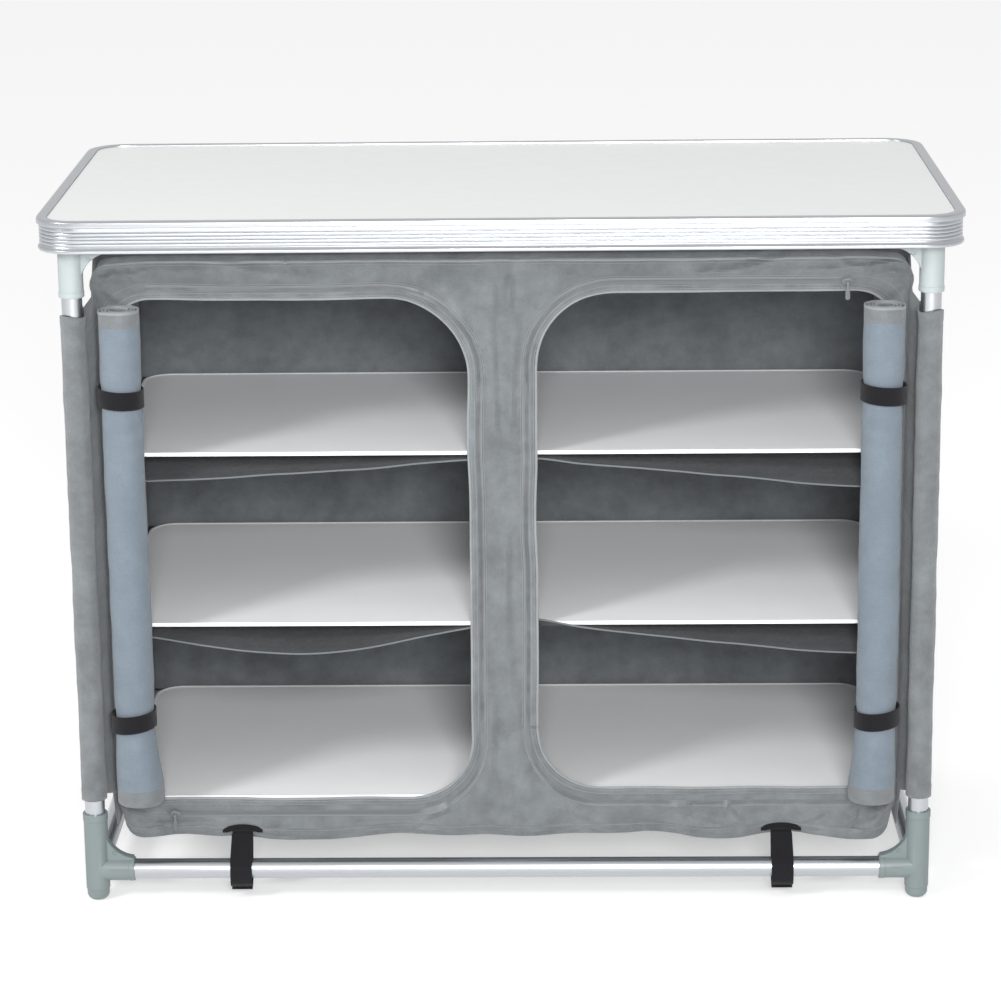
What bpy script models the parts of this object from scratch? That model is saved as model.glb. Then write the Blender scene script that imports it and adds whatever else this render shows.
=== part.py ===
"""Camp kitchen table: a framed table top on a knock-down aluminium tube frame,
with a hanging fabric cabinet of two bays and three shelf levels.

Frame: the origin is on the floor under the middle of the table top,
+X runs to the table's right, +Y to its back and +Z up. The cabinet opens at -Y.
"""
import math

import bmesh
import bpy

# ---------------------------------------------------------------- dimensions
GAP = 0.0003                # clearance between touching pieces

TOP_WIDTH = 0.970
TOP_DEPTH = 0.475
HEIGHT = 0.770
CORNER_RADIUS = 0.042
TRIM_HEIGHT = 0.034
TRIM_WALL = 0.0020
TRIM_REACH = 0.0110         # how far the trim's lips reach in over the board
LIP_PROUD = 0.0030          # how far the lips stand out past the ribbed face
BOARD_THICK = 0.0110
BOARD_DROP = 0.0015         # the trim's lip stands this much above the board
REBATE = 0.0008             # the board is cut down this much under the trim's lip
TRIM_LEDGE = 0.0016         # thickness of the trim's ledge under the board
TRIM_SHEET = 0.0015         # thickness of the trim's bottom flange and of its joiners

LEG_X = 0.4520
LEG_Y = 0.1925
TUBE_RADIUS = 0.0110
TUBE_WALL = 0.0012
SOCKET_RADIUS = 0.0131
SOCKET_REACH = 0.0420       # from the leg's axis to the mouth of a rail socket
RAIL_START = 0.0145         # from the leg's axis to the end of a rail's tube
TOP_RAIL_Z = 0.7440
LOW_RAIL_Z = 0.0340
TOP_SOCKET_Z = 0.6820       # mouth of the upper bracket's leg socket
LOW_SOCKET_Z = 0.1010       # mouth of the lower bracket's leg socket
LEG_STOP = 0.0165           # from a rail's axis to the end of the leg's tube
WEB_THICK = 0.0120
WEB_RADIUS = 0.0360
WEB_ARC = (0.0460, 0.0500)  # centre of the web's hollow edge, from the hub
FOOT_HEIGHT = 0.0125        # the bracket narrows to a round foot below this
FOOT_RADIUS = 0.0123

CLOTH = 0.0018
BOX_X = 0.4300              # half the cabinet's width
WALL_X = 0.4318             # outer face of a side wall
FRONT_Y = -0.1695           # front face of the front panel
BACK_Y = 0.1860             # rear face of the back panel
BOX_TOP_Z = 0.7220
SKIRT_Z = 0.0620            # bottom hem of the front panel
SIDE_SKIRT_Z = 0.0720
BACK_SKIRT_Z = 0.0660
FLOOR_Z = 0.1107            # upper face of the cabinet's floor
SLEEVE_CLOTH = 0.0015       # the sleeves and webs are of a single thinner layer
SLEEVE_RADIUS = TUBE_RADIUS + GAP + SLEEVE_CLOTH
SLEEVE_WEB_GAP = 0.0006     # from a side web's tip to its sleeve
SIDE_WEB_Y = {"front": -0.1640, "rear": 0.1780}
ROOF_WEB_INSET = 0.0040     # the roof's webs start this far in from its edge
SLEEVE_BOTTOM_Z = 0.1180
SLEEVE_TOP_Z = 0.6640
FLAP_X = 0.3600             # half length of the flaps that wrap the top rails

OPENING_IN_X = 0.0360       # half width of the centre post
OPENING_OUT_X = 0.4180
OPENING_Z = {-1: (0.1010, 0.6730), 1: (0.1120, 0.6780)}
OPENING_TOP_RADIUS = 0.0850
OPENING_LOW_RADIUS = 0.0700
OPENING_OUT_RADIUS = 0.0200

SHELF_THICK = 0.0040
SHELF_LEVELS = {"lower": 0.1150, "middle": 0.3090, "upper": 0.5020}
SHELF_X = (0.0050, 0.4250)
SHELF_Y = (-0.1630, 0.1800)
SHELF_CORNER = 0.0320       # radius of the two rear corners
SHELF_FRONT_CORNER = 0.0040
SLING_APRON = 0.0300

ROLL_RADIUS = 0.0225
ROLL_X = 0.4045
ROLL_Z = (0.1150, 0.6680)
ROLL_STRAP_Z = {"upper": 0.5730, "lower": 0.2100}
STRAP_HEIGHT = 0.0200
STRAP_THICK = 0.0015
STRAP_CLEAR = 0.0010        # room between a strap and what it wraps

HOLD_STRAP_X = {"left": -0.2920, "right": 0.3040}
HOLD_STRAP_WIDTH = 0.0240

TRACK_OFFSET = 0.0080       # from an opening's edge to its zip track
TRACK_WIDTH = 0.0050
TRACK_THICK = 0.0012
TRACK_END_X = 0.3760
SLIDER_X = 0.3660
SLIDER_SIZE = (0.0120, 0.0046, 0.0085)
SLIDER_EDGE = 0.0012
PULL_LENGTH = 0.0200
PULL_WIDTH = 0.0050
PULL_THICK = 0.0012
PULL_CORNER = 0.0020

JOINER_LENGTH = 0.0600

ROUND_STEPS = 20
ARC_STEPS = 6

BOARD_TOP_Z = HEIGHT - BOARD_DROP
BOARD_LOW_Z = BOARD_TOP_Z - BOARD_THICK
ROLL_Y = FRONT_Y - GAP - ROLL_RADIUS
SIDES = {"left": -1, "right": 1}
ENDS = {"front": -1, "rear": 1}


# ------------------------------------------------------------------- helpers
def clear_scene():
    for thing in list(bpy.data.objects):
        bpy.data.objects.remove(thing, do_unlink=True)


def new_collection(name):
    collection = bpy.data.collections.new(name)
    bpy.context.scene.collection.children.link(collection)
    return collection


def material(name, colour, roughness, metallic=0.0):
    mat = bpy.data.materials.new(name)
    mat.use_nodes = True
    shader = mat.node_tree.nodes["Principled BSDF"]
    shader.inputs["Base Color"].default_value = (*colour, 1.0)
    shader.inputs["Roughness"].default_value = roughness
    shader.inputs["Metallic"].default_value = metallic
    return mat


def add_mesh(name, bm, collection, mat=None, location=(0, 0, 0)):
    mesh = bpy.data.meshes.new(name)
    bm.to_mesh(mesh)
    bm.free()
    obj = bpy.data.objects.new(name, mesh)
    obj.location = location
    collection.objects.link(obj)
    if mat is not None:
        mesh.materials.append(mat)
    return obj


def hide_helper(obj):
    obj.hide_render = True
    obj.display_type = "WIRE"


def box(name, low, high, collection, mat=None):
    bm = bmesh.new()
    bmesh.ops.create_cube(bm, size=1.0)
    size = [b - a for a, b in zip(low, high)]
    middle = [(a + b) / 2 for a, b in zip(low, high)]
    bmesh.ops.scale(bm, vec=size, verts=bm.verts)
    return add_mesh(name, bm, collection, mat, middle)


def cylinder(name, radius, start, end, collection, mat=None):
    """A solid rod along X, Y or Z between two points."""
    bm = bmesh.new()
    length = math.dist(start, end)
    bmesh.ops.create_cone(bm, cap_ends=True, segments=ROUND_STEPS, radius1=radius,
                          radius2=radius, depth=length)
    middle = [(a + b) / 2 for a, b in zip(start, end)]
    obj = add_mesh(name, bm, collection, mat, middle)
    obj.data.shade_smooth()
    obj.data.set_sharp_from_angle(angle=math.radians(40))
    if abs(end[0] - start[0]) > length / 2:
        obj.rotation_euler = (0, math.pi / 2, 0)
    elif abs(end[1] - start[1]) > length / 2:
        obj.rotation_euler = (math.pi / 2, 0, 0)
    return obj


def turned(name, profile, collection, mat, location=(0, 0, 0), along="Z"):
    """A closed (radius, height) profile turned about its axis. Points run down
    the outer side first."""
    bm = bmesh.new()
    verts = [bm.verts.new((radius, 0, height)) for radius, height in profile]
    for first, second in zip(verts, verts[1:] + verts[:1]):
        if first.co.x > 0 or second.co.x > 0:
            bm.edges.new((first, second))
    obj = add_mesh(name, bm, collection, mat, location)
    screw = obj.modifiers.new("Turn", "SCREW")
    screw.steps = screw.render_steps = ROUND_STEPS
    screw.use_merge_vertices = True
    screw.merge_threshold = 0.00001
    screw.use_smooth_shade = True
    if along == "X":
        obj.rotation_euler = (0, math.pi / 2, 0)
    elif along == "Y":
        obj.rotation_euler = (-math.pi / 2, 0, 0)
    return obj


def tube(name, radius, wall, start, end, collection, mat):
    """A hollow round tube along X, Y or Z."""
    length = math.dist(start, end)
    inner = radius - wall
    profile = [(radius, length), (radius, 0), (inner, 0), (inner, length)]
    along = "XYZ"[max(range(3), key=lambda i: abs(end[i] - start[i]))]
    return turned(name, profile, collection, mat, start, along)


def plate(name, outlines, thickness, collection, mat=None, plane="XY", at=0.0):
    """A flat outline, with holes if more than one is given, extruded by its thickness.

    The plate lies in the named plane and is centred at `at` across it.
    """
    data = bpy.data.curves.new(name, "CURVE")
    data.dimensions = "2D"
    data.fill_mode = "BOTH"
    data.extrude = thickness / 2
    data.render_resolution_u = 0
    for outline in outlines:
        spline = data.splines.new("POLY")
        spline.points.add(len(outline) - 1)
        spline.use_cyclic_u = True
        for point, (u, v) in zip(spline.points, outline):
            point.co = (u, v, 0, 1)
    obj = bpy.data.objects.new(name, data)
    collection.objects.link(obj)
    if mat is not None:
        data.materials.append(mat)
    if plane == "XZ":
        obj.rotation_euler = (math.pi / 2, 0, 0)
        obj.location = (0, at, 0)
    elif plane == "YZ":
        obj.rotation_euler = (math.pi / 2, 0, math.pi / 2)
        obj.location = (at, 0, 0)
    else:
        obj.location = (0, 0, at)
    return obj


def to_mesh(curve_obj):
    """Replace a curve object with the closed mesh that it shows."""
    bpy.context.view_layer.update()
    graph = bpy.context.evaluated_depsgraph_get()
    mesh = bpy.data.meshes.new_from_object(curve_obj.evaluated_get(graph))
    bm = bmesh.new()
    bm.from_mesh(mesh)
    bmesh.ops.remove_doubles(bm, verts=bm.verts, dist=0.00001)
    bmesh.ops.recalc_face_normals(bm, faces=bm.faces)
    bm.to_mesh(mesh)
    bm.free()
    name = curve_obj.name
    collection = curve_obj.users_collection[0]
    matrix = curve_obj.matrix_world.copy()
    bpy.data.objects.remove(curve_obj, do_unlink=True)
    obj = bpy.data.objects.new(name, mesh)
    obj.matrix_world = matrix
    collection.objects.link(obj)
    return obj


def boolean(obj, other, operation):
    hide_helper(other)
    modifier = obj.modifiers.new(operation.title(), "BOOLEAN")
    modifier.operation = operation
    modifier.object = other


def arc(centre, radius, start, end, steps=ARC_STEPS):
    """Points on an arc, angles in degrees, both ends included."""
    points = []
    for i in range(steps + 1):
        angle = math.radians(start + (end - start) * i / steps)
        points.append((centre[0] + radius * math.cos(angle),
                       centre[1] + radius * math.sin(angle)))
    return points


def rounded_rectangle(low, high, radii):
    """An outline, anticlockwise from the low corner; radii go in the same order."""
    (x0, y0), (x1, y1) = low, high
    r0, r1, r2, r3 = radii
    return (arc((x0 + r0, y0 + r0), r0, 180, 270) + arc((x1 - r1, y0 + r1), r1, 270, 360)
            + arc((x1 - r2, y1 - r2), r2, 0, 90) + arc((x0 + r3, y1 - r3), r3, 90, 180))


def ribbon(points, thickness):
    """The outline of a strip of even thickness that follows a line of points."""
    left, right = [], []
    for i, (u, v) in enumerate(points):
        before = points[max(i - 1, 0)]
        after = points[min(i + 1, len(points) - 1)]
        du, dv = after[0] - before[0], after[1] - before[1]
        length = math.hypot(du, dv)
        nu, nv = -dv / length * thickness / 2, du / length * thickness / 2
        left.append((u + nu, v + nv))
        right.append((u - nu, v - nv))
    return left + right[::-1]


# ----------------------------------------------------------------- table top
def trim_section():
    """The trim's cross-section: distance in from the outermost edge, and height."""
    low = HEIGHT - TRIM_HEIGHT
    wall = LIP_PROUD + TRIM_WALL
    ledge = BOARD_LOW_Z - GAP
    lip = BOARD_TOP_Z - REBATE + GAP
    return [(0.0008, HEIGHT), (0.0, HEIGHT - 0.0010), (0.0, HEIGHT - 0.0055),
            (LIP_PROUD, HEIGHT - 0.0075), (LIP_PROUD, low + 0.0045),
            (0.0010, low + 0.0030), (0.0010, low + 0.0008), (0.0016, low),
            (TRIM_REACH, low), (TRIM_REACH, low + TRIM_SHEET), (wall, low + TRIM_SHEET),
            (wall, ledge - TRIM_LEDGE), (TRIM_REACH + 0.0010, ledge - TRIM_LEDGE),
            (TRIM_REACH + 0.0010, ledge), (wall, ledge), (wall, lip),
            (TRIM_REACH, lip), (TRIM_REACH, HEIGHT - 0.0006), (TRIM_REACH - 0.0006, HEIGHT)]


def edge_trim(name, end, parts, helpers, mat):
    """One U-shaped half of the extruded edge; the halves butt at the sides' middles."""
    section = bpy.data.curves.new(name + "_section", "CURVE")
    section.dimensions = "2D"
    spline = section.splines.new("POLY")
    outline = trim_section()
    spline.points.add(len(outline) - 1)
    spline.use_cyclic_u = True
    for point, (inward, height) in zip(spline.points, outline):
        point.co = (inward * end, height, 0, 1)
    section_obj = bpy.data.objects.new(name + "_section", section)
    helpers.objects.link(section_obj)
    hide_helper(section_obj)

    x, y, r = TOP_WIDTH / 2, TOP_DEPTH / 2, CORNER_RADIUS
    path = [(-x, end * GAP / 2)]
    path += [(px, end * py) for px, py in arc((-x + r, y - r), r, 180, 90)]
    path += [(px, end * py) for px, py in arc((x - r, y - r), r, 90, 0)]
    path += [(x, end * GAP / 2)]
    data = bpy.data.curves.new(name, "CURVE")
    data.dimensions = "2D"
    data.fill_mode = "NONE"
    data.render_resolution_u = 0
    data.bevel_mode = "OBJECT"
    data.bevel_object = section_obj
    data.use_fill_caps = True
    line = data.splines.new("POLY")
    line.points.add(len(path) - 1)
    for point, (px, py) in zip(line.points, path):
        point.co = (px, py, 0, 1)
    data.materials.append(mat)
    obj = bpy.data.objects.new(name, data)
    parts.objects.link(obj)
    return to_mesh(obj)


def top_outline(inset):
    """The table top's outline, moved in by `inset`."""
    x, y = TOP_WIDTH / 2 - inset, TOP_DEPTH / 2 - inset
    return rounded_rectangle((-x, -y), (x, y), [CORNER_RADIUS - inset] * 4)


def build_top(parts, helpers, mats):
    # The board's margin is rebated, so its raised face just fills the trim's lips.
    low_z, step_z = BOARD_LOW_Z, BOARD_TOP_Z - REBATE
    inset = LIP_PROUD + TRIM_WALL + GAP
    board = to_mesh(plate("table_board", [top_outline(inset)], step_z - low_z, parts,
                          mats["laminate"], at=(low_z + step_z) / 2))
    face = to_mesh(plate("table_board_face", [top_outline(TRIM_REACH + GAP)], BOARD_THICK / 2,
                         helpers, at=BOARD_TOP_Z - BOARD_THICK / 4))
    boolean(board, face, "UNION")
    for word, end in ENDS.items():
        edge_trim("edge_trim_" + word, end, parts, helpers, mats["aluminium"])

    # A splice plate inside the trim bridges each joint between its halves.
    x = TOP_WIDTH / 2 - inset
    low = HEIGHT - TRIM_HEIGHT + TRIM_SHEET + GAP
    high = BOARD_LOW_Z - GAP - TRIM_LEDGE - GAP
    for word, side in SIDES.items():
        low_x, high_x = sorted((side * x, side * (x - TRIM_SHEET)))
        box("trim_joiner_" + word, (low_x, -JOINER_LENGTH / 2, low),
            (high_x, JOINER_LENGTH / 2, high), parts, mats["aluminium"])


# --------------------------------------------------------------------- frame
def web_outline():
    """The bracket's web, from the hub: along the rail and along the leg."""
    reach = SOCKET_REACH - 0.0010
    start = math.degrees(math.asin((WEB_ARC[0] - reach) / WEB_RADIUS))
    edge = arc(WEB_ARC, WEB_RADIUS, 270 - start, 186)
    return [(0.0, 0.0), (reach, 0.0)] + edge + [(0.0, edge[-1][1])]


def bracket(name, side, end, rail_z, mouth_z, parts, helpers, mat):
    """A three-way corner: a leg socket and two rail sockets with webs between."""
    up = 1 if mouth_z > rail_z else -1
    x, y = side * LEG_X, end * LEG_Y
    if up > 0:
        foot = [(SOCKET_RADIUS, mouth_z), (SOCKET_RADIUS, FOOT_HEIGHT + 0.0006),
                (FOOT_RADIUS, FOOT_HEIGHT), (FOOT_RADIUS, 0.0060),
                (FOOT_RADIUS - 0.0012, 0.0028), (FOOT_RADIUS - 0.0032, 0.0008),
                (FOOT_RADIUS - 0.0052, 0.0), (0.0, 0.0), (0.0, mouth_z)]
        body = turned(name, foot, parts, mat, (x, y, 0))
    else:
        body = cylinder(name, SOCKET_RADIUS, (x, y, mouth_z),
                        (x, y, rail_z + SOCKET_RADIUS), parts, mat)
    rail_x = x - side * SOCKET_REACH
    rail_y = y - end * SOCKET_REACH
    socket_radius = SOCKET_RADIUS - 0.0002
    boolean(body, cylinder(name + "_socket_x", socket_radius, (x, y, rail_z),
                           (rail_x, y, rail_z), helpers), "UNION")
    boolean(body, cylinder(name + "_socket_y", socket_radius, (x, y, rail_z),
                           (x, rail_y, rail_z), helpers), "UNION")
    web_x = [(x - side * u, rail_z + up * v) for u, v in web_outline()]
    web_y = [(y - end * u, rail_z + up * v) for u, v in web_outline()]
    boolean(body, to_mesh(plate(name + "_web_x", [web_x], WEB_THICK, helpers,
                                plane="XZ", at=y)), "UNION")
    boolean(body, to_mesh(plate(name + "_web_y", [web_y], WEB_THICK - 0.0004, helpers,
                                plane="YZ", at=x)), "UNION")
    bore = TUBE_RADIUS + GAP
    bore_start = RAIL_START - GAP
    boolean(body, cylinder(name + "_bore_x", bore, (x - side * bore_start, y, rail_z),
                           (rail_x - side * 0.01, y, rail_z), helpers), "DIFFERENCE")
    boolean(body, cylinder(name + "_bore_y", bore, (x, y - end * bore_start, rail_z),
                           (x, rail_y - end * 0.01, rail_z), helpers), "DIFFERENCE")
    stop_z = rail_z + up * (LEG_STOP - GAP)
    boolean(body, cylinder(name + "_bore_z", bore, (x, y, stop_z),
                           (x, y, mouth_z + up * 0.01), helpers), "DIFFERENCE")
    return body


def build_frame(parts, helpers, mats):
    for end_word, end in ENDS.items():
        for side_word, side in SIDES.items():
            corner = end_word + "_" + side_word
            x, y = side * LEG_X, end * LEG_Y
            tube("leg_" + corner, TUBE_RADIUS, TUBE_WALL, (x, y, LOW_RAIL_Z + LEG_STOP),
                 (x, y, TOP_RAIL_Z - LEG_STOP), parts, mats["aluminium"])
            bracket("top_bracket_" + corner, side, end, TOP_RAIL_Z, TOP_SOCKET_Z,
                    parts, helpers, mats["bracket_light"])
            bracket("bottom_bracket_" + corner, side, end, LOW_RAIL_Z, LOW_SOCKET_Z,
                    parts, helpers, mats["bracket"])

    run_x, run_y = LEG_X - RAIL_START, LEG_Y - RAIL_START
    for level, z in (("top", TOP_RAIL_Z), ("bottom", LOW_RAIL_Z)):
        for word, end in ENDS.items():
            tube(level + "_rail_" + word, TUBE_RADIUS, TUBE_WALL, (-run_x, end * LEG_Y, z),
                 (run_x, end * LEG_Y, z), parts, mats["aluminium"])
        for word, side in SIDES.items():
            tube(level + "_rail_" + word, TUBE_RADIUS, TUBE_WALL, (side * LEG_X, -run_y, z),
                 (side * LEG_X, run_y, z), parts, mats["aluminium"])


# ------------------------------------------------------------------- cabinet
def opening_outline(side, grow=0.0, outer_x=OPENING_OUT_X, outer_radius=OPENING_OUT_RADIUS):
    """A bay's D-shaped mouth as seen from the front, grown outwards by `grow`."""
    low, high = OPENING_Z[side]
    low, high = low - grow, high + grow
    inner = OPENING_IN_X - grow
    top, bottom = OPENING_TOP_RADIUS + grow, OPENING_LOW_RADIUS + grow
    if side > 0:
        return rounded_rectangle((inner, low), (outer_x, high),
                                 [bottom, outer_radius, outer_radius, top])
    return rounded_rectangle((-outer_x, low), (-inner, high),
                             [outer_radius, bottom, top, outer_radius])


def track_line(side, grow):
    """A zip track's line, from its lower outer end round the post to its upper end."""
    low, high = OPENING_Z[side]
    low, high = low - grow, high + grow
    inner = OPENING_IN_X - grow
    top, bottom = OPENING_TOP_RADIUS + grow, OPENING_LOW_RADIUS + grow
    line = [(TRACK_END_X, low)]
    line += arc((inner + bottom, low + bottom), bottom, 270, 180)
    line += arc((inner + top, high - top), top, 180, 90)
    line += [(TRACK_END_X, high)]
    return [(side * x, z) for x, z in line]


def build_panels(parts, helpers, mats):
    cloth = mats["cloth"]
    edge = [(-BOX_X, SKIRT_Z), (BOX_X, SKIRT_Z), (BOX_X, BOX_TOP_Z), (-BOX_X, BOX_TOP_Z)]
    plate("front_panel", [edge, opening_outline(-1), opening_outline(1)], CLOTH,
          parts, cloth, "XZ", FRONT_Y + CLOTH / 2)
    box("back_panel", (-BOX_X, BACK_Y - CLOTH, BACK_SKIRT_Z), (BOX_X, BACK_Y, BOX_TOP_Z),
        parts, cloth)

    inner_front = FRONT_Y + CLOTH + GAP
    inner_back = BACK_Y - CLOTH - GAP
    inner_x = WALL_X - CLOTH - GAP
    box("floor_panel", (-inner_x, inner_front, FLOOR_Z - CLOTH),
        (inner_x, inner_back, FLOOR_Z), parts, cloth)
    box("centre_divider", (-CLOTH / 2, inner_front, FLOOR_Z + GAP),
        (CLOTH / 2, inner_back, BOX_TOP_Z), parts, cloth)

    # The roof lies on the walls' tops, and its flaps wrap the front and rear rails.
    roof_z = BOX_TOP_Z + GAP
    roof = box("roof_panel", (-inner_x, FRONT_Y, roof_z), (inner_x, BACK_Y, roof_z + CLOTH),
               parts, cloth)
    last_angle = 360 * (ROUND_STEPS - 1) / ROUND_STEPS
    for word, end, edge_y in (("front", -1, FRONT_Y), ("rear", 1, BACK_Y)):
        ring = [arc((end * LEG_Y, TOP_RAIL_Z), r, 0, last_angle, ROUND_STEPS - 1)
                for r in (SLEEVE_RADIUS, SLEEVE_RADIUS - SLEEVE_CLOTH)]
        sleeve = to_mesh(plate("roof_sleeve_" + word, ring, 2 * FLAP_X, helpers, plane="YZ"))
        slope = [(edge_y - end * ROOF_WEB_INSET, roof_z + CLOTH / 2),
                 (end * (LEG_Y - 0.0050), TOP_RAIL_Z - 0.0108)]
        web = to_mesh(plate("roof_web_" + word, [ribbon(slope, SLEEVE_CLOTH)], 2 * FLAP_X,
                            helpers, plane="YZ"))
        boolean(roof, web, "UNION")
        boolean(roof, sleeve, "UNION")

    # Each side wall is tied to its two leg sleeves by slanted webs.
    web_height = SLEEVE_TOP_Z - SLEEVE_BOTTOM_Z
    web_middle = (SLEEVE_TOP_Z + SLEEVE_BOTTOM_Z) / 2
    for word, side in SIDES.items():
        low_x, high_x = sorted((side * WALL_X, side * (WALL_X - CLOTH)))
        wall = box("side_panel_" + word, (low_x, inner_front, SIDE_SKIRT_Z),
                   (high_x, inner_back, BOX_TOP_Z), parts, cloth)
        for end_word, end in ENDS.items():
            root = (side * (WALL_X - CLOTH / 2), SIDE_WEB_Y[end_word])
            leg = (side * LEG_X, end * LEG_Y)
            reach = math.dist(root, leg)
            stop = (reach - SLEEVE_RADIUS - SLEEVE_WEB_GAP) / reach
            tip = tuple(a + (b - a) * stop for a, b in zip(root, leg))
            web = to_mesh(plate("side_web_" + word + "_" + end_word,
                                [ribbon([root, tip], SLEEVE_CLOTH)], web_height, helpers,
                                plane="XY", at=web_middle))
            boolean(wall, web, "UNION")
            tube("leg_sleeve_" + end_word + "_" + word, SLEEVE_RADIUS, SLEEVE_CLOTH,
                 (leg[0], leg[1], SLEEVE_BOTTOM_Z), (leg[0], leg[1], SLEEVE_TOP_Z),
                 parts, cloth)


def build_shelves(parts, mats):
    for level, top_z in SHELF_LEVELS.items():
        for word, side in SIDES.items():
            low_x, high_x = sorted((side * SHELF_X[0], side * SHELF_X[1]))
            outline = rounded_rectangle((low_x, SHELF_Y[0]), (high_x, SHELF_Y[1]),
                                        [SHELF_FRONT_CORNER] * 2 + [SHELF_CORNER] * 2)
            plate("shelf_board_" + level + "_" + word, [outline], SHELF_THICK, parts,
                  mats["shelf"], at=top_z - SHELF_THICK / 2)

    inner_x = WALL_X - CLOTH - 2 * GAP
    start_x = CLOTH / 2 + GAP
    front = FRONT_Y + CLOTH + GAP
    back = BACK_Y - CLOTH - GAP
    for level in ("middle", "upper"):
        z = SHELF_LEVELS[level] - SHELF_THICK - GAP
        outline = [(front, z - SLING_APRON), (front + CLOTH, z - SLING_APRON),
                   (front + CLOTH, z - CLOTH), (back, z - CLOTH), (back, z), (front, z)]
        for word, side in SIDES.items():
            plate("shelf_sling_" + level + "_" + word, [outline], inner_x - start_x, parts,
                  mats["cloth"], "YZ", side * (inner_x + start_x) / 2)


# ------------------------------------------------------- doors, straps, zips
def build_doors(parts, mats):
    for word, side in SIDES.items():
        cylinder("door_roll_" + word, ROLL_RADIUS, (side * ROLL_X, ROLL_Y, ROLL_Z[0]),
                 (side * ROLL_X, ROLL_Y, ROLL_Z[1]), parts, mats["door_cloth"])

    # A band covers the roll's front half and swings on the roll's outer side.
    middle = ROLL_RADIUS + STRAP_CLEAR + STRAP_THICK / 2
    band = arc((0, 0), middle, 183, 357, 2 * ARC_STEPS)
    for level, z in ROLL_STRAP_Z.items():
        for word, side in SIDES.items():
            line = [(side * (ROLL_X + u), ROLL_Y + v) for u, v in band]
            name = "roll_strap_" + level + "_" + word
            plate(name, [ribbon(line, STRAP_THICK)], STRAP_HEIGHT, parts, mats["webbing"],
                  at=z)


def build_hold_straps(parts, mats):
    leaf = [(-0.1732, 0.0665), (-0.1975, 0.0480), (-0.2040, 0.0410), (-0.2050, 0.0300),
            (-0.2046, 0.0205), (-0.2005, 0.0155), (-0.1945, 0.0150)]
    for word, x in HOLD_STRAP_X.items():
        plate("hold_strap_" + word, [ribbon(leaf, STRAP_THICK)], HOLD_STRAP_WIDTH, parts,
              mats["webbing"], "YZ", x)


def build_zips(parts, mats):
    inner_edge, outer_edge = TRACK_OFFSET, TRACK_OFFSET + TRACK_WIDTH
    track_y = FRONT_Y - GAP - TRACK_THICK / 2
    for word, side in SIDES.items():
        outline = track_line(side, inner_edge) + track_line(side, outer_edge)[::-1]
        plate("zip_track_" + word, [outline], TRACK_THICK, parts, mats["zip"], "XZ", track_y)

    width, depth, height = SLIDER_SIZE
    back = FRONT_Y - 2 * GAP - TRACK_THICK
    middle = TRACK_OFFSET + TRACK_WIDTH / 2
    heights = {"left": OPENING_Z[-1][0] - middle, "right": OPENING_Z[1][1] + middle}
    for word, side in SIDES.items():
        x, z = side * SLIDER_X, heights[word]
        slider = box("zip_slider_" + word, (x - width / 2, back - depth, z - height / 2),
                     (x + width / 2, back, z + height / 2), parts, mats["zip"])
        bevel = slider.modifiers.new("Round edges", "BEVEL")
        bevel.width = SLIDER_EDGE
        bevel.segments = 2
        front = back - depth - 3 * GAP
        half = PULL_WIDTH / 2
        top = z + PULL_THICK / 2
        outline = rounded_rectangle((x - half, top - PULL_LENGTH), (x + half, top),
                                    [PULL_CORNER] * 4)
        plate("zip_pull_" + word, [outline], PULL_THICK, parts, mats["zip"], "XZ",
              front - PULL_THICK / 2)


# ---------------------------------------------------------------------- main
def main():
    clear_scene()
    parts = new_collection("camp_kitchen_table")
    helpers = new_collection("cutters")
    mats = {
        "aluminium": material("aluminium", (0.86, 0.88, 0.90), 0.28, 1.0),
        "laminate": material("laminate", (0.84, 0.85, 0.84), 0.35),
        "shelf": material("shelf", (0.78, 0.79, 0.80), 0.40),
        "bracket": material("bracket", (0.42, 0.49, 0.48), 0.45),
        "bracket_light": material("bracket_light", (0.55, 0.61, 0.62), 0.45),
        "cloth": material("cloth", (0.14, 0.15, 0.155), 0.85),
        "door_cloth": material("door_cloth", (0.30, 0.36, 0.43), 0.80),
        "webbing": material("webbing", (0.01, 0.01, 0.012), 0.80),
        "zip": material("zip", (0.12, 0.125, 0.13), 0.50),
    }
    build_top(parts, helpers, mats)
    build_frame(parts, helpers, mats)
    build_panels(parts, helpers, mats)
    build_shelves(parts, mats)
    build_doors(parts, mats)
    build_hold_straps(parts, mats)
    build_zips(parts, mats)


main()
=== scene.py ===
"""Looks for the camp kitchen table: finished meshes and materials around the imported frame.

Every piece is in metres in the table's own frame: the cabinet opens at -Y and +Z is up.
Sheets of cloth carry UVs in metres, so their weave keeps its real scale.
"""
import math

import bmesh
import bpy
import numpy as np
from mathutils import Euler, Matrix, Vector


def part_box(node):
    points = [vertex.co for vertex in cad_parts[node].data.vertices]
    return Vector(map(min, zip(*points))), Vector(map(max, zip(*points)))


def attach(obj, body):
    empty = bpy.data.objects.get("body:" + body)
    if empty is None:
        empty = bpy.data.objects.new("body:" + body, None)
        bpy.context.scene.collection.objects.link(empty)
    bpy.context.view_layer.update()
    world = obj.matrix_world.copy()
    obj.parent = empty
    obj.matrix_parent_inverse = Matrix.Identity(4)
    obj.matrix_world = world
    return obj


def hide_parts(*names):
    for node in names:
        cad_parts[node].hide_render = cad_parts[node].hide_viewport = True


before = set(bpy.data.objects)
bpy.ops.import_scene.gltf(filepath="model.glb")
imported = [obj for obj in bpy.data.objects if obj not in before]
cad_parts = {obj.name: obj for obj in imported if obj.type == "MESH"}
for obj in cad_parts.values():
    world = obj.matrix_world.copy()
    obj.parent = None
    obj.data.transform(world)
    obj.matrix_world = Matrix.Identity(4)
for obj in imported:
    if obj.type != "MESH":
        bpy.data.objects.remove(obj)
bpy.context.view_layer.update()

SIDES = {"left": -1, "right": 1}
ENDS = {"front": -1, "rear": 1}

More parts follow.
